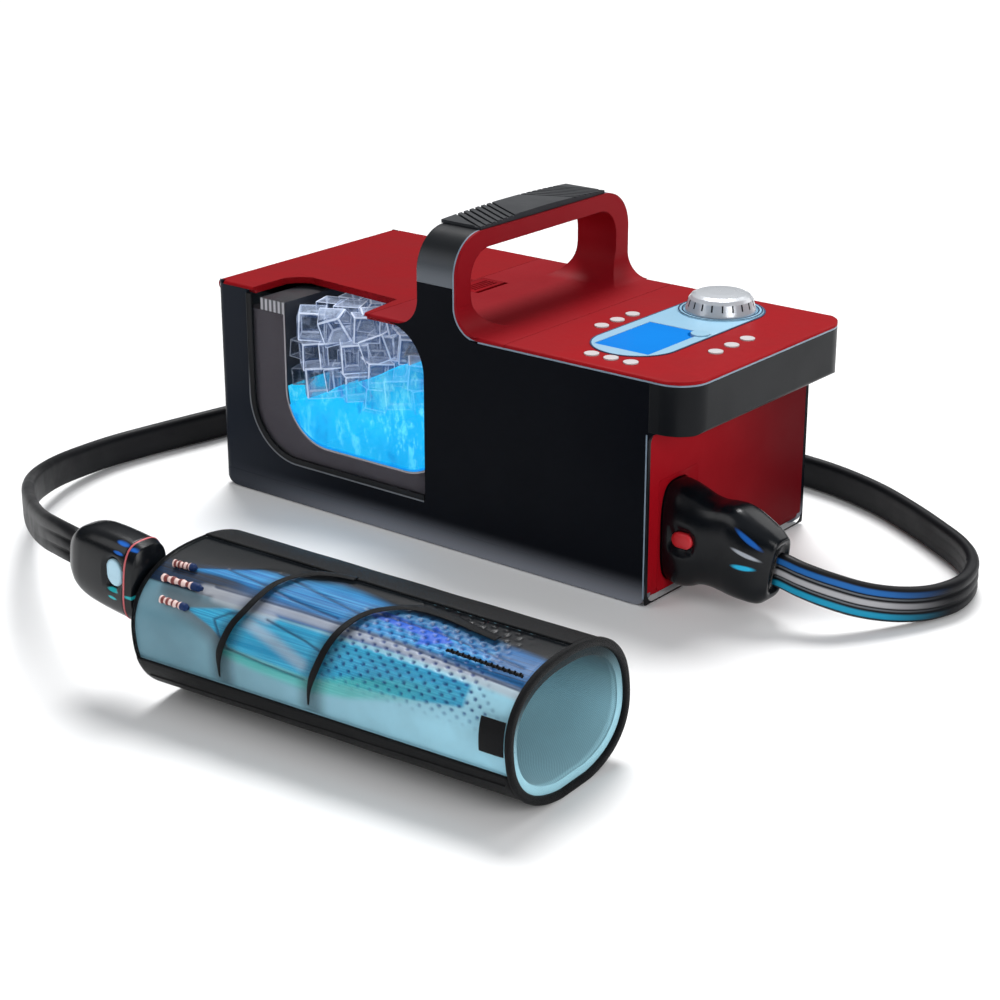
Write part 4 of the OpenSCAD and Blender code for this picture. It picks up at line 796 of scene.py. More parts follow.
def inside_tank(points):
    """Presses points back inside the tank's walls and its two rounded corners."""
    points = np.clip(points, TANK_LOW + 0.6, TANK_HIGH - 0.3)
    centre_x = np.clip(points[:, 0], TANK_LOW[0] + TANK_ROUND, TANK_HIGH[0] - TANK_ROUND)
    centre_z = np.maximum(points[:, 2], TANK_LOW[2] + TANK_ROUND)
    dx, dz = points[:, 0] - centre_x, points[:, 2] - centre_z
    reach = np.hypot(dx, dz)
    pull = np.where(reach > TANK_ROUND - 0.6, (TANK_ROUND - 0.6) / np.maximum(reach, 1e-6), 1)
    points[:, 0] = centre_x + dx * pull
    points[:, 2] = centre_z + dz * pull
    return points


block_points, block_faces, block_edge = ice_block()
chance = random.Random(ICE_SEED)
ice_points, ice_faces, ice_edge, ice_tone_and_shade = [], [], [], []
for x, y, z, size, yaw in ice_spots(chance):
    tumble = 26 if chance.random() < 0.25 else 7
    turn = Euler([math.radians(chance.uniform(-tumble, tumble)),
                  math.radians(chance.uniform(-tumble, tumble)), math.radians(yaw)]).to_matrix()
    start = sum(len(p) for p in ice_points)
    ice_points.append(inside_tank(block_points @ np.array(turn).T * size + (x, y, z)))
    ice_faces += [tuple(start + i for i in f) for f in block_faces]
    ice_edge.append(block_edge)
    # Cubes at the far left and those high on the right above the water get a low tone as painted shade; the
    # rest vary at random.
    in_shade = x < -131 or (x > -52 and z > water_line(x) - 4)
    ice_tone_and_shade.append(np.full(len(block_edge), chance.uniform(0.12, 0.22) if in_shade else chance.uniform(0.45, 1)))
ice = new_piece("ice_in_tank", place(np.concatenate(ice_points)), ice_faces)
ice.data.shade_flat()
keep_mask(ice, "edge", np.concatenate(ice_edge))
keep_mask(ice, "tone_and_shade", np.concatenate(ice_tone_and_shade))
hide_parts("ice_cubes")
print("ice cubes:", len(ice_tone_and_shade), "faces:", len(ice_faces))

# %% [markdown]
# The water stands behind the cubes. Its surface is drawn as in the picture, at a slope, as if the machine
# had just been tilted, with small waves. It is one closed body whose underside follows the rounded tank.

# %% Water
WATER_BACK = 77.0
WATER_FRONT = -94.5


def water_top(x, y):
    """Height of the sloping surface with its waves."""
    wave = 0.9 * np.sin(x / 8 + y / 15) + 0.5 * np.sin(x / 4.1 - y / 9 + 1)
    return np.minimum(water_line(x) + wave, TANK_HIGH[2] - 1)


xs = np.linspace(TANK_LOW[0] + 0.1, TANK_HIGH[0] - 0.1, 90)
ys = np.linspace(WATER_FRONT, WATER_BACK, 40)
gx, gy = np.meshgrid(xs, ys, indexing="ij")
reach = np.maximum(np.maximum(TANK_LOW[0] + TANK_ROUND - gx, gx - TANK_HIGH[0] + TANK_ROUND), 0)
floor_z = TANK_LOW[2] + 0.1 + TANK_ROUND - np.sqrt(np.maximum((TANK_ROUND - 0.1) ** 2 - reach**2, 0))
top_z = np.maximum(water_top(gx, gy), floor_z + 1)
layers = 26
cells = np.stack([np.stack([gx, gy, floor_z + (top_z - floor_z) * k / (layers - 1)], -1)
                  for k in range(layers)])
shape = cells.shape[:3]
index = np.arange(cells[..., 0].size).reshape(shape)


def sheet_faces(grid, flip):
    """Quads over a two-way grid of point numbers."""
    quads = [(grid[i, j], grid[i + 1, j], grid[i + 1, j + 1], grid[i, j + 1])
             for i in range(grid.shape[0] - 1) for j in range(grid.shape[1] - 1)]
    return [q[::-1] for q in quads] if flip else quads


water_faces = (sheet_faces(index[0], True) + sheet_faces(index[-1], False)
               + sheet_faces(index[:, 0, :], False) + sheet_faces(index[:, -1, :], True)
               + sheet_faces(index[:, :, 0], True) + sheet_faces(index[:, :, -1], False))
used = sorted({int(i) for f in water_faces for i in f})
renumber = {old: new for new, old in enumerate(used)}
water = new_piece("water_in_tank", place(cells.reshape(-1, 3)[used]),
                  [tuple(renumber[int(i)] for i in f) for f in water_faces])
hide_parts("water")
print("water points:", len(used))

# %% [markdown]
# The control plate has a printed dark outline, and the knob stands in fine rings.
# They are thin raised trims: a closed outline carried round as a flat band, a hair above the plate.

# %% Trims on the deck
DECK = 157.0
PLATE_AT = (127.0, 9.0)
PLATE_SIZE = (160.0, 60.0)
KNOB_AT = (127.0, 59.0)
PLATE_TOP = 157.5


def slot_outline(middle, length, wide, count=160):
    """A slot that runs along y, as evenly turned points."""
    a = np.linspace(0, 2 * np.pi, count, endpoint=False)
    shift = np.where(np.sin(a) >= 0, 1, -1) * (length - wide) / 2
    return np.stack([middle[0] + wide / 2 * np.cos(a), middle[1] + wide / 2 * np.sin(a) + shift], 1)


def rounded_outline(middle, size, radius, count=160):
    """A rectangle with rounded corners."""
    a = np.linspace(0, 2 * np.pi, count, endpoint=False)
    sx = np.where(np.cos(a) >= 0, 1, -1) * (size[0] / 2 - radius)
    sy = np.where(np.sin(a) >= 0, 1, -1) * (size[1] / 2 - radius)
    return np.stack([middle[0] + radius * np.cos(a) + sx, middle[1] + radius * np.sin(a) + sy], 1)


def trim(name, outline, half, low, high):
    """A flat closed band along an outline, half to each side of it."""
    step = np.roll(outline, -1, 0) - np.roll(outline, 1, 0)
    out = np.stack([step[:, 1], -step[:, 0]], 1) / np.linalg.norm(step, axis=1)[:, None]
    corners = [(half, low), (half, high - 0.08), (half * 0.6, high), (-half * 0.6, high),
               (-half, high - 0.08), (-half, low)]
    rings = np.stack([np.column_stack([outline + out * d, np.full(len(outline), z)]) for d, z in corners])
    count = len(outline)
    faces = ring_faces(len(corners), count) + [
        ((len(corners) - 1) * count + j, (len(corners) - 1) * count + (j + 1) % count, (j + 1) % count, j)
        for j in range(count)]
    return new_piece(name, place(rings.reshape(-1, 3)), faces)


trims = [trim("plate_outline", slot_outline(PLATE_AT, PLATE_SIZE[0] + 1.0, PLATE_SIZE[1] + 1.0), 0.55,
              DECK + 0.02, PLATE_TOP + 0.12)]
for radius in (26.4, 28.8):
    trims.append(trim("knob_ring_%d" % radius, slot_outline(KNOB_AT, 2 * radius, 2 * radius), 0.5,
                      PLATE_TOP + 0.82, PLATE_TOP + 0.95))
print("trims:", [t.name for t in trims])

# %% [markdown]
# The shell's lower edge is square and reaches the floor in the picture, and the cut-out has a dark rim
# with a painted highlight line round it. These are thin pieces on the shell: a skirt along each side, the rim
# and the painted highlight line of the cut-out, the painted highlight line down the front edge, and the red
# bottom of the plug's pocket.

# %% Skirt, cut-out rim and edge lines
SKIRT_TOP = 14.0
SKIRT_LOW = 0.5
SKIRT_ROUND = 8.0
CORNER_BACK = 14.0
CORNER_FRONT = 9.0
FACE = 177.0


def skirt_low(x):
    """Lower edge of the skirt, which rises round both lower corners."""
    back = np.clip(CORNER_BACK - (x + HALF_LENGTH), 0, CORNER_BACK)
    front = np.clip(CORNER_FRONT - (FACE - x), 0, CORNER_FRONT)
    return (SKIRT_LOW + CORNER_BACK - np.sqrt(CORNER_BACK**2 - back**2)
            + CORNER_FRONT - np.sqrt(CORNER_FRONT**2 - front**2))


def strip(name, rows):
    """A closed solid over rows of section points, each row a ring of the same count."""
    piece = loft(name, rows)
    piece.data.shade_flat()
    return piece


def side_skirt(name, side):
    """The skirt of one side, -1 near or 1 far, along the shell's lower edge."""
    xs = np.concatenate([np.linspace(-HALF_LENGTH + 0.3, -HALF_LENGTH + CORNER_BACK, 16),
                         np.linspace(-150, 150, 7), np.linspace(FACE - CORNER_FRONT, FACE - 0.2, 14)])
    back_turn = np.clip(SKIRT_ROUND - (xs + HALF_LENGTH), 0, SKIRT_ROUND)
    ys = HALF_WIDTH + 0.02 - SKIRT_ROUND + np.sqrt(SKIRT_ROUND**2 - back_turn**2)
    rows = []
    for x, y, low in zip(xs, ys, skirt_low(xs)):
        section_yz = [(y, SKIRT_TOP), (y, low + 1.2), (y - 0.5, low + 0.3), (y - 1.4, low), (y - 7, low),
                      (y - 7, SKIRT_TOP)]
        rows.append([(x, side * a, b) for a, b in section_yz[::-side]])
    return strip(name, rows)


skirts = [side_skirt("near_skirt", -1), side_skirt("far_skirt", 1)]


def open_trim(name, outline, half, low, high):
    """A flat band along an open outline of (x, z) points on the near side, between two depths."""
    outline = np.asarray(outline, float)
    step = np.gradient(outline, axis=0)
    out = np.stack([step[:, 1], -step[:, 0]], 1) / np.linalg.norm(step, axis=1)[:, None]
    rows = [[(*(q + o * half * side_sign)[[0]], -HALF_WIDTH + depth, (q + o * half * side_sign)[1])
             for side_sign, depth in ((1, low), (1, high), (-1, high), (-1, low))]
            for q, o in zip(outline, out)]
    return strip(name, rows)


def cut_outline(inset):
    """The cut-out's left and lower edge, from the top of its back edge to its front lower corner."""
    left, low, turn_r = -175.0 + inset, 31.0 + inset, 45.0 - inset
    a = np.linspace(np.pi, 1.5 * np.pi, 30)
    bend = np.stack([left + turn_r + turn_r * np.cos(a), low + turn_r + turn_r * np.sin(a)], 1)
    return np.concatenate([[(left, z) for z in np.linspace(152, low + turn_r + 1, 12)], bend,
                           [(x, low) for x in np.linspace(left + turn_r + 2, -10, 20)]])


cut_rim = open_trim("cut_out_rim", cut_outline(2.0), 2.0, -0.1, 2.0)
# The bright line round the cut-out and the line down the front edge are painted highlights, made as thin
# strips.
cut_highlight_strip = open_trim("cut_out_highlight", cut_outline(-0.5), 0.55, -0.25, 0.3)
front_highlight_strip = open_trim("front_edge_highlight", [(FACE - 1.2, z) for z in np.linspace(6, 119, 20)], 0.5, -0.2, 0.3)

POCKET_Y = (-84.0, -39.0)
POCKET_Z = (8.0, 84.0)
inner = soft_oval(0, PLUG_MIDDLE[0], PLUG_MIDDLE[1], PLUG_THICK / 2 * 0.98 + 0.8, PLUG_HEIGHT / 2 + 1.6,
                  PLUG_HEIGHT / 2 + 0.6)[:, 1:]
frame_ring = rounded_outline(((POCKET_Y[0] + POCKET_Y[1]) / 2, (POCKET_Z[0] + POCKET_Z[1]) / 2),
                             (POCKET_Y[1] - POCKET_Y[0] + 1, POCKET_Z[1] - POCKET_Z[0] + 1), 3.0, 96)
pocket_rows = [np.column_stack([np.full(96, x), ring]) for x, ring in
               ((FACE - 2.4, inner), (FACE - 0.9, inner), (FACE + 0.15, frame_ring), (FACE - 2.4, frame_ring),
                (FACE - 2.4, inner))]
pocket_trim = loft("pocket_trim", pocket_rows, capped=False)
pocket_trim.data.shade_flat()

frame_outer = rounded_outline((0, 61), (2 * HALF_WIDTH - 0.4, 119), 1.5, 160)
frame_inner = rounded_outline((1.2, 60.7), (2 * HALF_WIDTH - 3.4, 117.4), 8.0, 160)
face_rows = [np.column_stack([np.full(160, x), ring]) for x, ring in
             ((FACE - 0.6, frame_outer), (FACE + 0.25, frame_outer),
              (FACE + 0.35, (frame_outer + frame_inner) / 2),
              (FACE + 0.25, frame_inner), (FACE - 0.6, frame_inner), (FACE - 0.6, frame_outer))]
face_frame = loft("face_frame", face_rows, capped=False)
face_frame.data.shade_flat()

corner, first, last = np.array([-169.0, -50.0]), np.array([-169.0, -66.0]), np.array([-153.0, -51.25])
bend = [(1 - u) ** 2 * first + 2 * u * (1 - u) * (corner + (first + last) / 2) / 2 + u * u * last
        for u in np.linspace(0, 1, 12)]
ring = np.array([corner + (-0.4, 0.4), first + (-0.4, 0)] + bend + [last + (0, 0.4)])
lid_fillet = loft("lid_fillet", [np.column_stack([ring, np.full(len(ring), z)]) for z in (152.4, 156.97)])
lid_fillet.data.shade_flat()
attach(lid_fillet, "lid")

TICKS = 20
TICK = ((23.75, PLATE_TOP + 4.4), (22.42, PLATE_TOP + 8.9), (21.6, PLATE_TOP + 8.9), (22.9, PLATE_TOP + 4.4))
tick_points, tick_faces = [], []
for k in range(TICKS):
    turn = 2 * math.pi * k / TICKS
    c, q = math.cos(turn), math.sin(turn)
    start = len(tick_points)
    for r, z in TICK:
        for w in (-0.55, 0.55):
            tick_points.append((KNOB_AT[0] + r * c - w * q, KNOB_AT[1] + r * q + w * c, z))
    tick_faces += [tuple(start + i for i in f) for f in
                    ((0, 1, 3, 2), (2, 3, 5, 4), (4, 5, 7, 6), (6, 7, 1, 0), (0, 2, 4, 6), (1, 7, 5, 3))]
knob_marks = new_piece("knob_marks", place(tick_points), tick_faces, body="knob_body")
knob_marks.data.shade_flat()
print("skirts, rims and lines made")

# %% [markdown]
# Finishes come next. A node helper keeps each one to a few readable lines, and colours are written as
# paint codes and turned into linear light. Effects that several finishes share are node groups: they put
# out only masks, colours, heights and normals, and the shader itself stays in each material.

# %% Finish helpers


def paint(code):
    """Six hex digits to the linear colour that a shader wants."""
    values = [int(code[i:i + 2], 16) / 255 for i in (0, 2, 4)]
    return tuple(v / 12.92 if v <= 0.04045 else ((v + 0.055) / 1.055) ** 2.4 for v in values) + (1.0,)


def feed(tree, node, inputs):
    """Sets or links each named input of a node."""
    for key, value in (inputs or {}).items():
        if isinstance(value, bpy.types.NodeSocket):
            tree.links.new(value, node.inputs[key])
        else:
            node.inputs[key].default_value = value
    return node


def add(tree, kind, inputs=None, **settings):
    """A shader node with its settings, and its inputs either set or linked."""
    node = tree.nodes.new("ShaderNode" + kind)
    for key, value in settings.items():
        setattr(node, key, value)
    return feed(tree, node, inputs)


def new_group(name, inputs, outputs):
    """An empty node group with named sockets, and its two ends."""
    tree = bpy.data.node_groups.new(name, "ShaderNodeTree")
    for label, kind, value in inputs:
        item = tree.interface.new_socket(label, in_out="INPUT", socket_type="NodeSocket" + kind)
        if value is not None:
            item.default_value = value
    for label, kind in outputs:
        tree.interface.new_socket(label, in_out="OUTPUT", socket_type="NodeSocket" + kind)
    return tree, tree.nodes.new("NodeGroupInput").outputs, tree.nodes.new("NodeGroupOutput").inputs


def use_group(tree, group, inputs=None):
    """A node group in a tree, with its inputs fed, as its outputs."""
    return add(tree, "Group", inputs, node_tree=group).outputs


def ramp(tree, value, low, high, to_low=0.0, to_high=1.0):
    """A smooth step of a value from one level to another."""
    return add(tree, "MapRange", {0: value, 1: low, 2: high, 3: to_low, 4: to_high},
               interpolation_type="SMOOTHSTEP").outputs[0]


def facing(tree, axis):
    """How far a surface looks along one axis of the frame."""
    return add(tree, "SeparateXYZ", {0: add(tree, "NewGeometry").outputs["Normal"]}).outputs[axis]


def blend_colours(tree, factor, a, b):
    """A colour that goes from a to b as the factor goes from 0 to 1."""
    return add(tree, "Mix", {0: factor, 6: a, 7: b}, data_type="RGBA").outputs[2]


def maths(tree, operation, a, b=0.0):
    """One sum on values in a tree."""
    return add(tree, "Math", {0: a, 1: b}, operation=operation).outputs[0]


def finish(name, rough, metallic=0.0, coat=0.0, coat_rough=0.05, sheen=0.0, ior=1.5, glow=0.0, alpha=1.0,
           shine=0.5):
    """A new material with its constants on the shader's own sockets."""
    made = bpy.data.materials.new(name)
    made.use_nodes = True
    tree = made.node_tree
    shader = tree.nodes["Principled BSDF"]
    feed(tree, shader, {
        "Roughness": rough, "Metallic": metallic, "Coat Weight": coat, "Coat Roughness": coat_rough,
        "Sheen Weight": sheen, "IOR": ior, "Emission Strength": glow, "Alpha": alpha,
        "Specular IOR Level": shine})
    return made, tree, shader


print("finish helpers ready")

# %% [markdown]
# Four effects return on many parts. Moulded plastic has a fine grain; handled edges are rubbed brighter and
# carry a painted highlight;
# cloth has crossing threads; and every surface that has been in a room carries a faint, uneven dust.

# %% Shared effects
grain, g_in, g_out = new_group("FineGrain", [("Vector", "Vector", None), ("Scale", "Float", 900.0)],
                               [("Height", "Float"), ("Speck", "Float")])
cells_node = add(grain, "TexVoronoi", {"Vector": g_in["Vector"], "Scale": g_in["Scale"]})
coarse = maths(grain, "MULTIPLY", g_in["Scale"], 0.35)
noise_node = add(grain, "TexNoise", {"Vector": g_in["Vector"], "Scale": coarse, "Detail": 4.0})
grain.links.new(maths(grain, "ADD", cells_node.outputs[0], noise_node.outputs[0]), g_out["Height"])
grain.links.new(ramp(grain, noise_node.outputs[0], 0.35, 0.7), g_out["Speck"])

wear_and_highlight, w_in, w_out = new_group(
    "EdgeWearAndHighlight", [("Vector", "Vector", None), ("Radius", "Float", 0.0012), ("Amount", "Float", 0.5)],
    [("Mask", "Float"), ("Normal", "Vector")])
round_edge = add(wear_and_highlight, "Bevel", {"Radius": w_in["Radius"]}, samples=4)
true_face = add(wear_and_highlight, "NewGeometry")
same = add(wear_and_highlight, "VectorMath", {0: round_edge.outputs[0], 1: true_face.outputs["Normal"]},
           operation="DOT_PRODUCT")
rub = add(wear_and_highlight, "TexNoise", {"Vector": w_in["Vector"], "Scale": 160.0, "Detail": 3.0})
# The edge mask lightens edges both as rubbed wear and as a painted highlight.
wear_highlight_mask = maths(wear_and_highlight, "MULTIPLY", ramp(wear_and_highlight, same.outputs["Value"], 0.995, 0.9),
                  ramp(wear_and_highlight, rub.outputs[0], 0.3, 0.65))
wear_and_highlight.links.new(maths(wear_and_highlight, "MULTIPLY", wear_highlight_mask, w_in["Amount"]), w_out["Mask"])
wear_and_highlight.links.new(round_edge.outputs[0], w_out["Normal"])

weave, f_in, f_out = new_group("FabricWeave", [("Vector", "Vector", None), ("Threads", "Float", 1400.0)],
                               [("Height", "Float"), ("Thread", "Float")])
split = add(weave, "SeparateXYZ", {0: f_in["Vector"]})
warp = maths(weave, "SINE", maths(weave, "MULTIPLY", split.outputs[0], f_in["Threads"]))
weft = maths(weave, "SINE", maths(weave, "MULTIPLY", split.outputs[1], f_in["Threads"]))
crossing = maths(weave, "MULTIPLY", warp, weft)
weave.links.new(crossing, f_out["Height"])
weave.links.new(ramp(weave, crossing, -0.4, 0.8), f_out["Thread"])

dust, d_in, d_out = new_group("DustMottle", [("Vector", "Vector", None), ("Scale", "Float", 30.0)],
                              [("Mottle", "Float"), ("Fine", "Float")])
broad = add(dust, "TexNoise", {"Vector": d_in["Vector"], "Scale": d_in["Scale"], "Detail": 6.0,
                               "Roughness": 0.6})
fine = add(dust, "TexNoise", {"Vector": d_in["Vector"], "Scale": maths(dust, "MULTIPLY", d_in["Scale"], 14.0),
                              "Detail": 2.0})
dust.links.new(ramp(dust, broad.outputs[0], 0.3, 0.75), d_out["Mottle"])
dust.links.new(ramp(dust, fine.outputs[0], 0.55, 0.8), d_out["Fine"])
print("groups:", [g.name for g in (grain, wear_and_highlight, weave, dust)])

# %% [markdown]
# Most parts are moulded, painted or turned. One recipe covers them: a base colour that drifts a little,
# a fine grain in the bump, edges rounded in the normal and rubbed lighter with a painted highlight, and dust
# in the roughness.

# %% Moulded finishes


def moulded(name, code, rough, grain_size=700.0, depth=0.02, edge=0.25, drift=0.12, edge_round=0.0009,
            **shader_values):
    """Moulded or painted surface with grain, edges lightened as wear and painted highlight, and uneven gloss.
    """
    made, tree, shader = finish(name, rough, **shader_values)
    spot = add(tree, "TexCoord").outputs["Object"]
    fine_grain = use_group(tree, grain, {"Vector": spot, "Scale": grain_size})
    worn_and_lit = use_group(tree, wear_and_highlight, {"Vector": spot, "Amount": edge, "Radius": edge_round})
    dusty = use_group(tree, dust, {"Vector": spot, "Scale": 24.0})
    base = paint(code)
    darker = tuple(v * (1 - drift) for v in base[:3]) + (1.0,)
    wear_highlight_colour = tuple(min(v * 1.6 + 0.05, 1) for v in base[:3]) + (1.0,)
    body = blend_colours(tree, dusty["Mottle"], base, darker)
    # Edges go lighter: rubbed wear and a painted highlight.
    shader_colour = blend_colours(tree, worn_and_lit["Mask"], body, wear_highlight_colour)
    tree.links.new(shader_colour, shader.inputs["Base Color"])
    uneven = ramp(tree, dusty["Mottle"], 0.0, 1.0, rough, rough * 1.18 + 0.01)
    tree.links.new(uneven, shader.inputs["Roughness"])
    bump = add(tree, "Bump", {"Height": fine_grain["Height"], "Strength": depth * 10, "Distance": 0.0001,
                              "Normal": worn_and_lit["Normal"]})
    tree.links.new(bump.outputs[0], shader.inputs["Normal"])
    return made


finishes = {
    "black_gloss": moulded("black_gloss", "050810", 0.36, 900, 0.012, 0.1, shine=0.045),
    # handle_black and band_black are lighter copies of the black gloss, painted light for the handle's legs
    # and the front band's lit face; edge_light colours the painted highlight line round the cut-out.
    "handle_black": moulded("handle_black", "15181C", 0.3, 900, 0.012, 0.15, shine=0.25),
    "band_black": moulded("band_black", "0C0F13", 0.34, 900, 0.012, 0.15, shine=0.13),
    "edge_light": moulded("edge_light", "6E7278", 0.4, 900, 0.01, 0.1, shine=0.2),
    "red_shell": moulded("red_shell", "9A1018", 0.42, 800, 0.012, 0.1, shine=0.05),
    "red_lid": moulded("red_lid", "900F17", 0.42, 800, 0.012, 0.1, shine=0.04),
    "red_face": moulded("red_face", "A00F1B", 0.45, 800, 0.01, 0.1, shine=0.02),
    "bead": moulded("bead", "7F93A6", 0.3, 700, 0.01, 0.4),
    "grip_rubber": moulded("grip_rubber", "24272C", 0.6, 500, 0.05, 0.3, shine=0.3),
    "feet_rubber": moulded("feet_rubber", "18191B", 0.75, 500, 0.05, 0.1),
    "gasket": moulded("gasket", "8E949A", 0.6, 500, 0.04, 0.1),
    "steel": moulded("steel", "B9BDC2", 0.28, 1500, 0.02, 0.2, metallic=1.0),
    "foam": moulded("foam", "4E4A50", 0.8, 300, 0.1, 0.1, shine=0.05),
    "white_plastic": moulded("white_plastic", "D6D2D4", 0.3, 900, 0.008, 0.1, coat=0.2),
    "pump_plastic": moulded("pump_plastic", "2D3036", 0.45, 600, 0.03, 0.3),
    "impeller": moulded("impeller", "D8DCDF", 0.4, 600, 0.02, 0.2),
    "motor": moulded("motor", "7D8288", 0.35, 900, 0.02, 0.2, metallic=0.8),
    "tubes": moulded("tubes", "C9D6E2", 0.25, 900, 0.01, 0.1, alpha=0.75),
    "board": moulded("board", "1C6136", 0.45, 400, 0.04, 0.2),
    "pale_plate": moulded("pale_plate", "9CCBE6", 0.3, 900, 0.008, 0.2, coat=0.3),
    "silver_knob": moulded("silver_knob", "D2D6DB", 0.24, 1500, 0.02, 0.3, metallic=0.25, coat=0.2),
    "dark_plastic": moulded("dark_plastic", "0A0C10", 0.38, 800, 0.02, 0.3, shine=0.15),
    "release_red": moulded("release_red", "CF2730", 0.35, 800, 0.02, 0.3),
    "release_pale": moulded("release_pale", "B7DEF0", 0.3, 800, 0.02, 0.3),
}


def paint_light_gradient(name, code, axis, start, end):
    """Paints light and shade into a finish's base colour as a gradient along one axis: none at start, full at
    end, in millimetres.
    """
    tree = finishes[name].node_tree
    shader = tree.nodes["Principled BSDF"]
    link = shader.inputs["Base Color"].links[0]
    spot = add(tree, "SeparateXYZ", {0: add(tree, "TexCoord").outputs["Object"]}).outputs[axis]
    factor = ramp(tree, spot, start / 1000 + MIDDLE[axis], end / 1000 + MIDDLE[axis])
    mixed = blend_colours(tree, factor, link.from_socket, paint(code))
    tree.links.new(mixed, shader.inputs["Base Color"])


# Painted reflection of the pale floor along the shell's lower edge, and painted light that lifts the shell
# towards the back.
paint_light_gradient("black_gloss", "8C909A", 2, 22, -3)
paint_light_gradient("black_gloss", "1F242D", 0, -40, -230)
# A painted highlight band across the handle's legs, dark again below it.
paint_light_gradient("handle_black", "646A72", 2, 214, 186)
paint_light_gradient("handle_black", "15181C", 2, 177, 171)
# The bright line round the cut-out is a painted highlight that fades out going up.
paint_light_gradient("edge_light", "15181C", 2, 70, 105)
# Painted shade on the deck towards the handle's foot.
paint_light_gradient("red_shell", "8C111B", 0, 120, 10)
# Painted light on the front face's near side, going to maroon as painted shade towards the far side.
paint_light_gradient("red_face", "5E0A12", 1, -60, 90)
print("moulded finishes:", len(finishes))

# %% [markdown]
# The display glows evenly and the windows are clear. The ice has a painted glow, painted highlights on its
# tops and edges and painted shade on the cubes in the dark. The liner is painted dark as shade above the
# water, with painted highlights and shade on its rim, and the water is a bright azure with a painted glow and
# streaks of painted light. Clear parts use alpha, not refraction, so every viewer shows them.

# %% Clear and glowing finishes
made, tree, shader = finish("display", 0.3, glow=0.5, shine=0.05)
spot = add(tree, "TexCoord").outputs["Object"]
lines = add(tree, "TexNoise", {"Vector": spot, "Scale": 9.0, "Detail": 2.0})
screen = blend_colours(tree, lines.outputs[0], paint("025CAC"), paint("0674C4"))
tree.links.new(screen, shader.inputs["Base Color"])
tree.links.new(screen, shader.inputs["Emission Color"])
finishes["display"] = made

made, tree, shader = finish("clear_panel", 0.1, alpha=0.02, shine=0.1)
shader.inputs["Base Color"].default_value = paint("8C98A2")
dusty = use_group(tree, dust, {"Vector": add(tree, "TexCoord").outputs["Object"], "Scale": 20.0})
tree.links.new(ramp(tree, dusty["Fine"], 0.0, 1.0, 0.012, 0.03), shader.inputs["Alpha"])
finishes["clear_panel"] = made

# The ice has a painted glow. Its tops and edges are lightened as painted highlights, and the cubes in the
# dark are darkened as painted shade; the frost cracks are its own.
made, tree, shader = finish("ice", 0.2, glow=0.45, shine=0.2)
edge = add(tree, "Attribute", attribute_name="edge").outputs["Fac"]
tone_and_shade = add(tree, "Attribute", attribute_name="tone_and_shade").outputs["Fac"]
spot = add(tree, "TexCoord").outputs["Object"]
frost = add(tree, "TexNoise", {"Vector": spot, "Scale": 90.0, "Detail": 5.0, "Roughness": 0.65}).outputs[0]
top_highlight = ramp(tree, facing(tree, 2), 0.55, 0.85)
rim_light = ramp(tree, edge, 0.9, 1.0)
halo = ramp(tree, edge, 0.1, 0.8)
cracks = ramp(tree, frost, 0.5, 0.62)
colour = blend_colours(tree, halo, paint("4A5870"), paint("34507E"))
colour = blend_colours(tree, maths(tree, "MULTIPLY", cracks, 0.5), colour, paint("A4B2CA"))
colour = blend_colours(tree, maths(tree, "MULTIPLY", top_highlight, 0.7), colour, paint("A6B4CC"))
colour = blend_colours(tree, maths(tree, "MULTIPLY", rim_light, 0.8), colour, paint("D0DAEC"))
colour = blend_colours(tree, ramp(tree, tone_and_shade, 0.4, 0.1), colour, paint("2A303A"))
tree.links.new(colour, shader.inputs["Base Color"])
tree.links.new(colour, shader.inputs["Emission Color"])
body = maths(tree, "MULTIPLY", halo, 0.34)
body = add(tree, "Math", {0: cracks, 1: 0.22, 2: body}, operation="MULTIPLY_ADD").outputs[0]
body = add(tree, "Math", {0: top_highlight, 1: 0.3, 2: body}, operation="MULTIPLY_ADD").outputs[0]
body = add(tree, "Math", {0: tone_and_shade, 1: 0.3, 2: body}, operation="MULTIPLY_ADD").outputs[0]
solid = add(tree, "Math", {0: rim_light, 1: 0.25, 2: body}, operation="MULTIPLY_ADD",
            use_clamp=True).outputs[0]
tree.links.new(solid, shader.inputs["Alpha"])
finishes["ice"] = made

made, tree, shader = finish("liner", 0.35, shine=0.3)
spot = add(tree, "TexCoord").outputs["Object"]
split = add(tree, "SeparateXYZ", {0: spot})
low_end = place((TANK_LOW[0] - 2.5, 0, WATER_LOW))
sloped = add(tree, "Math", {0: split.outputs[0], 1: -math.tan(WATER_TILT), 2: split.outputs[2]},
             operation="MULTIPLY_ADD").outputs[0]
line_at = float(low_end[2] - low_end[0] * math.tan(WATER_TILT))
wet = ramp(tree, sloped, line_at + 0.0006, line_at - 0.0006)
dusty = use_group(tree, dust, {"Vector": spot, "Scale": 30.0})
# Above the water the liner is painted dark as shade inside the tank, mottled by dust; faces that look to the
# near side are light grey.
dry_painted_shade = blend_colours(tree, dusty["Mottle"], paint("24272E"), paint("17191F"))
colour = blend_colours(tree, wet, dry_painted_shade, paint("38CCFF"))
sideways = facing(tree, 1)
colour = blend_colours(tree, ramp(tree, sideways, -0.8, -0.95), colour, paint("A09CA2"))
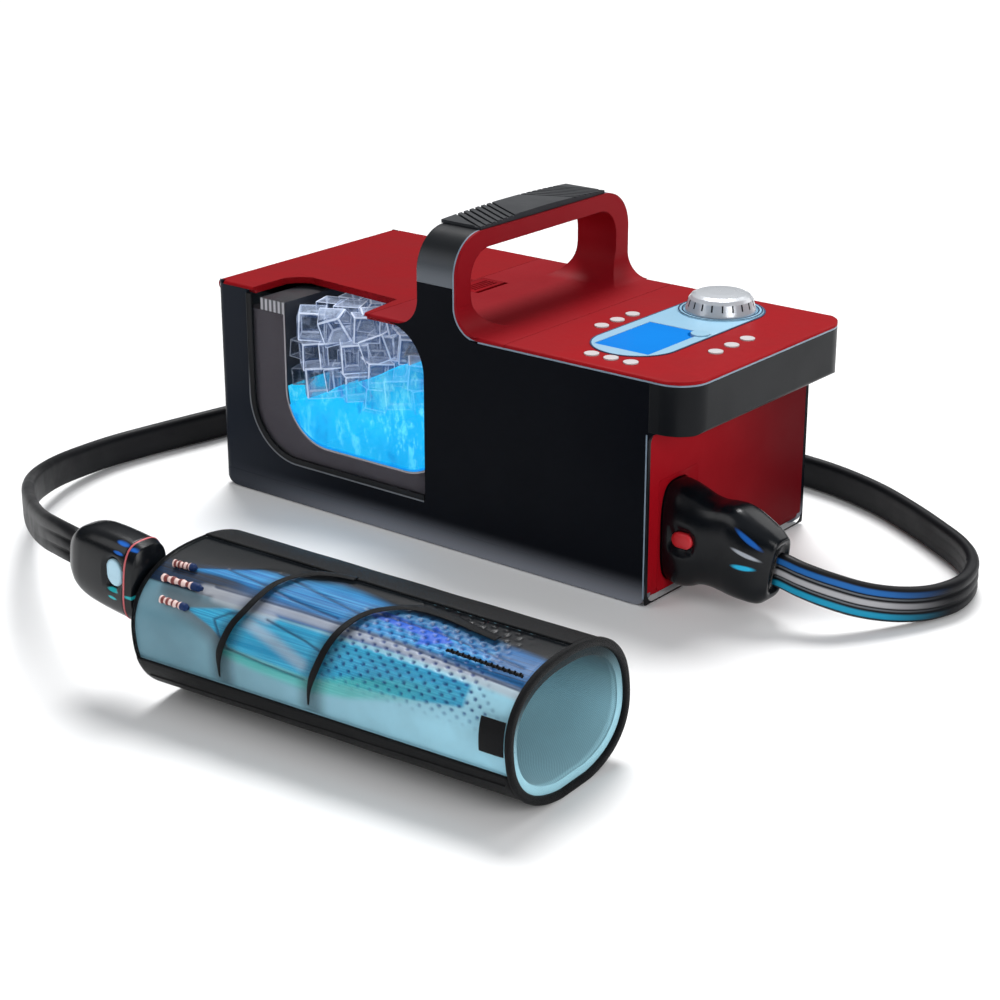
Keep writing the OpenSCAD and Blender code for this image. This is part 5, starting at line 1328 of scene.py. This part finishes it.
# On top of the rim, pale streaks are painted highlights, and faces that turn away from the near side are
# painted shade.
ribs = ramp(tree, maths(tree, "SINE", maths(tree, "MULTIPLY", split.outputs[0], 1500.0)), -0.5, 0.5)
rim_painted_light_and_shade = blend_colours(tree, ribs, paint("4A4A50"), paint("B0B0B6"))
rim_painted_light_and_shade = blend_colours(tree, ramp(tree, sideways, -0.8, -0.6), rim_painted_light_and_shade, paint("26282D"))
colour = blend_colours(tree, ramp(tree, split.outputs[2], 0.1402, 0.1408), colour, rim_painted_light_and_shade)
tree.links.new(colour, shader.inputs["Base Color"])
tree.links.new(ramp(tree, dusty["Mottle"], 0.0, 1.0, 0.3, 0.42), shader.inputs["Roughness"])
finishes["liner"] = made

# The water has a painted glow in azure, with caustic streaks of painted light and shade, and it is darker
# towards the bottom.
made, tree, shader = finish("water", 0.15, glow=1.12, shine=0.05)
spot = add(tree, "TexCoord").outputs["Object"]
tall = add(tree, "Mapping", {"Vector": spot, "Scale": (1.0, 1.0, 0.45)}).outputs[0]
caustic = add(tree, "TexNoise", {"Vector": tall, "Scale": 90.0, "Detail": 6.0, "Roughness": 0.75}).outputs[0]
broad = add(tree, "TexNoise", {"Vector": spot, "Scale": 14.0, "Detail": 3.0}).outputs[0]
parts = add(tree, "SeparateXYZ", {0: spot})
azure = blend_colours(tree, ramp(tree, broad, 0.35, 0.65), paint("10A8F0"), paint("20C6FA"))
azure = blend_colours(tree, ramp(tree, caustic, 0.53, 0.62), azure, paint("5CDCFF"))
azure = blend_colours(tree, ramp(tree, caustic, 0.46, 0.36), azure, paint("0A90E0"))
azure = blend_colours(tree, ramp(tree, parts.outputs[2], 0.075, 0.05, 0.0, 0.35), azure, paint("0A90D0"))
shader.inputs["Base Color"].default_value = paint("003050")
tree.links.new(azure, shader.inputs["Emission Color"])
below = add(tree, "Math", {0: parts.outputs[0], 1: -math.tan(WATER_TILT), 2: parts.outputs[2]},
            operation="MULTIPLY_ADD").outputs[0]
tree.links.new(ramp(tree, below, line_at - 0.012, line_at - 0.042, 0.62, 0.92), shader.inputs["Alpha"])
finishes["water"] = made
print("clear finishes:", sorted(set(finishes) & {"display", "clear_panel", "ice", "water"}))

# %% [markdown]
# The hose is matt black with a colour line along each tube, bright where it leaves the plug and lost
# further on. The masks stored on its mesh, across the tubes and along the run, place the lines.

# %% Hose finish
LINE_COLOURS = ((7.6, "1F62A8"), (0.0, "A8A8AC"), (-7.6, "1B93B8"))
made, tree, shader = finish("hose", 0.45, shine=0.16)
spot = add(tree, "TexCoord").outputs["Object"]
lobe = add(tree, "Attribute", attribute_name="lobe").outputs["Fac"]
along = add(tree, "Attribute", attribute_name="run").outputs["Fac"]
fade = ramp(tree, along, 60, 125, 1.0, 0.0)
colour = paint("0C0D11")
from_valley = maths(tree, "SUBTRACT", maths(tree, "ABSOLUTE", lobe), 3.8)
edges = ramp(tree, maths(tree, "ABSOLUTE", from_valley), 0.9, 0.2)
edge_share = maths(tree, "MULTIPLY", edges, maths(tree, "MULTIPLY", fade, 0.6))
colour = blend_colours(tree, edge_share, colour, paint("8A9097"))
for middle, code in LINE_COLOURS:
    near = ramp(tree, maths(tree, "ABSOLUTE", maths(tree, "SUBTRACT", lobe, middle)), 2.6, 1.2)
    colour = blend_colours(tree, maths(tree, "MULTIPLY", near, fade), colour, paint(code))
tree.links.new(colour, shader.inputs["Base Color"])
hose_grain = use_group(tree, grain, {"Vector": spot, "Scale": 900.0})
dusty = use_group(tree, dust, {"Vector": spot, "Scale": 30.0})
tree.links.new(ramp(tree, dusty["Mottle"], 0.0, 1.0, 0.44, 0.56), shader.inputs["Roughness"])
bump = add(tree, "Bump", {"Height": hose_grain["Height"], "Strength": 0.15, "Distance": 0.0001})
tree.links.new(bump.outputs[0], shader.inputs["Normal"])
finishes["hose"] = made
print("hose finish made")

# %% [markdown]
# Both plugs carry soft colour dashes that show which tube is which, with a painted glow. A dash is an ellipse
# around a spot, stretched along its own direction, so a mapping and a length make its mask.

# %% Plug finishes


def dash_mask(tree, spot, middle, angle, length, wide):
    """Mask of a soft dash on the side face: middle in millimetres, angle from level, in degrees."""
    at = place((middle[0], 0, middle[1]))
    mapped = add(tree, "Mapping", {"Vector": spot, "Location": (at[0], 0, at[2]),
                                   "Rotation": (0, -math.radians(angle), 0),
                                   "Scale": (length / 1000, 1000, wide / 1000)}, vector_type="TEXTURE")
    reach = add(tree, "VectorMath", {0: mapped.outputs[0]}, operation="LENGTH").outputs["Value"]
    return ramp(tree, reach, 0.55, 0.25)


def plug_finish(name, dashes, glow):
    """Soft black plastic with colour dashes on its near side, which carry a painted glow."""
    made, tree, shader = finish(name, 0.24, glow=glow, shine=0.26)
    spot = add(tree, "TexCoord").outputs["Object"]
    fine_grain = use_group(tree, grain, {"Vector": spot, "Scale": 900.0})
    dusty = use_group(tree, dust, {"Vector": spot, "Scale": 30.0})
    colour = blend_colours(tree, dusty["Mottle"], paint("080B0F"), paint("0E1217"))
    light = paint("000000")
    near_side = ramp(tree, facing(tree, 1), -0.3, -0.6)
    for code, middle, angle, length, wide in dashes:
        mask = maths(tree, "MULTIPLY", dash_mask(tree, spot, middle, angle, length, wide), near_side)
        colour = blend_colours(tree, mask, colour, paint(code))
        light = blend_colours(tree, mask, light, paint(code))
    tree.links.new(colour, shader.inputs["Base Color"])
    # The dashes' emission is a painted glow.
    tree.links.new(light, shader.inputs["Emission Color"])
    bump = add(tree, "Bump", {"Height": fine_grain["Height"], "Strength": 0.15, "Distance": 0.0001})
    tree.links.new(bump.outputs[0], shader.inputs["Normal"])
    return made


finishes["unit_plug"] = plug_finish("unit_plug", [
    ("1C57A6", (241, 57), -31, 24, 4), ("9AA0A8", (240, 47), -16, 23, 3.4),
    ("1CA6D0", (238.5, 38), 0, 18, 4)], 0.22)
finishes["sleeve_plug"] = plug_finish("sleeve_plug", [
    ("1E5FB8", (15, 98), -6, 11, 2.4), ("1E5FB8", (14, 93), -6, 9, 2.2), ("1FA0A8", (9, 69), -6, 10, 2.6),
    ("1FA0A8", (8, 64), -6, 8, 2.2)], 0.2)
finishes["sleeve_socket"] = plug_finish("sleeve_socket", [
    ("1E5FB8", (26, 96), -6, 12, 2.6), ("1FA0A8", (23, 67), -6, 11, 2.6)], 0.2)
finishes["seam_ring"] = moulded("seam_ring", "D8646B", 0.35, 800, 0.01, 0.3)
print("plug finishes made")

# %% [markdown]
# The cloth is a tight black weave, the lining a soft teal-grey knit with painted shade towards its top. The
# film is clear with gloss, and the bladder below takes its colours from the masks: pale at the near side,
# azure above the seam line, with painted shadow beside the bands and a painted glow.

# %% Sleeve finishes


def woven(name, code, light_code, rough, threads, depth, sheen=0.0):
    """Cloth with crossing threads in its colour and its bump."""
    made, tree, shader = finish(name, rough, sheen=sheen, shine=0.12)
    spot = add(tree, "TexCoord").outputs["UV"]
    stretched = add(tree, "VectorMath", {0: spot, 1: (1.0, 0.33, 1.0)}, operation="MULTIPLY").outputs[0]
    threads_out = use_group(tree, weave, {"Vector": stretched, "Threads": threads})
    dusty = use_group(tree, dust, {"Vector": add(tree, "TexCoord").outputs["Object"], "Scale": 22.0})
    colour = blend_colours(tree, threads_out["Thread"], paint(code), paint(light_code))
    tree.links.new(colour, shader.inputs["Base Color"])
    tree.links.new(ramp(tree, dusty["Mottle"], 0, 1, rough, min(rough + 0.12, 1)), shader.inputs["Roughness"])
    bump = add(tree, "Bump", {"Height": threads_out["Height"], "Strength": depth, "Distance": 0.0002})
    tree.links.new(bump.outputs[0], shader.inputs["Normal"])
    return made


finishes["fabric_black"] = woven("fabric_black", "050608", "0C0D10", 0.5, 5200.0, 0.35, 0.02)
finishes["lining"] = woven("lining", "9AD0E0", "B4E6F4", 0.7, 3600.0, 0.3, 0.1)
# Painted shade inside the sleeve: the lining darkens towards the top.
paint_light_gradient("lining", "0E2026", 2, 26, 74)
finishes["bands"] = woven("bands", "08090B", "111316", 0.45, 5200.0, 0.3)

made, tree, shader = finish("clear_film", 0.2, alpha=0.08, shine=0.4)
shader.inputs["Base Color"].default_value = paint("2A3238")
dusty = use_group(tree, dust, {"Vector": add(tree, "TexCoord").outputs["Object"], "Scale": 18.0})
tree.links.new(ramp(tree, dusty["Mottle"], 0, 1, 0.06, 0.12), shader.inputs["Alpha"])
finishes["clear_film"] = made

# The bladder has a painted glow in its own colours, and its shade mask paints shadow beside the bands.
made, tree, shader = finish("bladder", 0.4, glow=0.2, shine=0.25)
uv = add(tree, "TexCoord").outputs["UV"]
mask = {name: add(tree, "Attribute", attribute_name=name).outputs["Fac"] for name in masks}
stretch = add(tree, "Mapping", {"Vector": uv, "Scale": (9.0, 260.0, 1.0)})
streaks = add(tree, "TexNoise", {"Vector": stretch.outputs[0], "Scale": 1.0, "Detail": 5.0,
                                 "Roughness": 0.6}).outputs[0]
length_at = add(tree, "SeparateXYZ", {0: uv}).outputs[0]
pale = blend_colours(tree, ramp(tree, length_at, 0.0, 0.25), paint("A0D8EC"), paint("6A94A4"))
pale = blend_colours(tree, maths(tree, "MULTIPLY", mask["smoke"], 0.8), pale, paint("5C6870"))
deep = blend_colours(tree, ramp(tree, length_at, 0.175, 0.215), paint("1668A8"), paint("1C1C20"))
deep = blend_colours(tree, ramp(tree, streaks, 0.35, 0.75), deep, paint("123A62"))
colour = blend_colours(tree, mask["upper"], pale, deep)
azure = blend_colours(tree, ramp(tree, streaks, 0.35, 0.7), paint("0F68AC"), paint("3A9CD4"))
sea = blend_colours(tree, ramp(tree, streaks, 0.3, 0.7), paint("0C86B8"), paint("38B4DA"))
mint = blend_colours(tree, ramp(tree, streaks, 0.3, 0.7), paint("28A8A4"), paint("5CC4C0"))
for name, share, tint in (
        ("blue", 1.0, azure), ("cyan", 0.95, sea), ("green", 0.8, mint), ("white", 0.7, paint("B8BCC4")),
        ("arrow", 0.75, paint("0A48CC")), ("wall", 0.7, paint("0A2850")), ("dots", 0.8, paint("0A3A80")),
        ("shade", 0.6, paint("0A1016")), ("top", 1.0, paint("07080B"))):
    colour = blend_colours(tree, maths(tree, "MULTIPLY", mask[name], share), colour, tint)
tree.links.new(colour, shader.inputs["Base Color"])
tree.links.new(colour, shader.inputs["Emission Color"])
dimple = add(tree, "Bump", {"Height": streaks, "Strength": 0.12, "Distance": 0.0004})
tree.links.new(dimple.outputs[0], shader.inputs["Normal"])
finishes["bladder"] = made
finishes["port_rib"] = moulded("port_rib", "D9A59E", 0.4, 700, 0.02, 0.2, shine=0.2)
tree = finishes["port_rib"].node_tree
shader = tree.nodes["Principled BSDF"]
along = add(tree, "SeparateXYZ", {0: add(tree, "TexCoord").outputs["UV"]}).outputs[0]
ribs = ramp(tree, maths(tree, "SINE", maths(tree, "MULTIPLY", along, 36.0)), -0.5, 0.3)
colour = blend_colours(tree, ribs, paint("7A3E3C"), paint("EBCFC9"))
colour = blend_colours(tree, ramp(tree, along, 0.74, 0.77), colour, paint("0E2A58"))
tree.links.new(colour, shader.inputs["Base Color"])
finishes["navy_trim"] = moulded("navy_trim", "1B3F66", 0.4, 900, 0.01, 0.1)
print("finishes:", len(finishes))

# %% [markdown]
# Every rigid part takes the finish of its own slot, and each new piece is given its finish by name.

# %% Giving out the finishes
for node in nodes.values():
    for place_for in node.material_slots:
        place_for.material = finishes[place_for.material.name]

given = {
    "handle_black": [nodes["handle_band"]], "band_black": [nodes["front_band"]],
    "red_lid": [nodes["lid"], lid_fillet], "red_face": [nodes["front_panel"], pocket_trim],
    "black_gloss": skirts, "dark_plastic": [knob_marks, cut_rim, face_frame],
    "edge_light": [cut_highlight_strip], "bead": [front_highlight_strip],
    "hose": [hose], "unit_plug": [unit_plug], "sleeve_plug": [wrap_plug], "sleeve_socket": [socket],
    "seam_ring": [seam_ring], "fabric_black": [cloth, open_rim, hose_rim, piping, tab],
    "lining": [lining, lining_rim],
    "release_red": [unit_key], "release_pale": [sleeve_key],
    "bands": bands + [zip_tape, teeth], "clear_film": [film], "bladder": [bladder, back_bladder],
    "port_rib": ports, "ice": [ice], "water": [water], "navy_trim": trims,
}
for finish_name, pieces in given.items():
    for piece in pieces:
        piece.data.materials.clear()
        piece.data.materials.append(finishes[finish_name])
print("pieces dressed:", sum(len(v) for v in given.values()))

# %% [markdown]
# The stage is a wide, pale, matt floor under a dim white sky. A sun with a wide disc gives the soft
# shadows, and three square lights fill: from the camera's left, from the front side and from behind.

# %% Stage and light
FLOOR_HALF = 9.0
corners = [(-FLOOR_HALF, -FLOOR_HALF, 0), (FLOOR_HALF, -FLOOR_HALF, 0), (FLOOR_HALF, FLOOR_HALF, 0),
           (-FLOOR_HALF, FLOOR_HALF, 0)]
floor_mesh = bpy.data.meshes.new("floor")
floor_mesh.from_pydata(corners, [], [(0, 1, 2, 3)])
floor = bpy.data.objects.new("floor", floor_mesh)
bpy.context.scene.collection.objects.link(floor)
made, tree, shader = finish("pale_floor", 0.8, glow=0.02, shine=0.0)
shader.inputs["Base Color"].default_value = (0.93, 0.93, 0.93, 1)
shader.inputs["Emission Color"].default_value = (1, 1, 1, 1)
floor_mesh.materials.append(made)

world = bpy.data.worlds.new("soft_sky")
world.use_nodes = True
sky = world.node_tree
height = add(sky, "SeparateXYZ", {0: add(sky, "TexCoord").outputs["Generated"]}).outputs[2]
sky.links.new(ramp(sky, height, 0.2, 0.9, 0.05, 0.42), sky.nodes["Background"].inputs["Strength"])
sky.nodes["Background"].inputs["Color"].default_value = (0.95, 0.97, 1.0, 1)
bpy.context.scene.world = world
bpy.context.scene.view_settings.view_transform = "Standard"


def hang(name, kind, power, at, along):
    """A light of one kind and power at a place, in metres, that shines along a direction."""
    lamp = bpy.data.lights.new(name, kind)
    lamp.energy = power
    holder = bpy.data.objects.new(name, lamp)
    bpy.context.scene.collection.objects.link(holder)
    holder.location = at
    holder.rotation_euler = Vector(along).to_track_quat("-Z", "Y").to_euler()
    return lamp


def soft_light(name, at, towards, size, power):
    """A square area light at one place, facing another, both in metres."""
    hang(name, "AREA", power, at, Vector(towards) - Vector(at)).size = size


def soft_sun(name, towards, spread, strength):
    """A far light with a wide disc, so that shadows are soft and the floor is even."""
    hang(name, "SUN", strength, (0, 0, 0), towards).angle = math.radians(spread)


soft_sun("ceiling", (0.36, -0.5, -1), 26, 3.0)
soft_light("camera_left", (-1.1, -1.7, 1.2), (0, -0.1, 0.05), 1.2, 9)
soft_light("front_side", (1.7, -0.5, 0.8), (0.1, 0, 0.08), 0.9, 13)
soft_light("from_behind", (0.5, 1.7, 1.1), (0, 0, 0.1), 1.2, 8)
print("stage and four lights")

# %% [markdown]

# %% Finish
print("scene built")
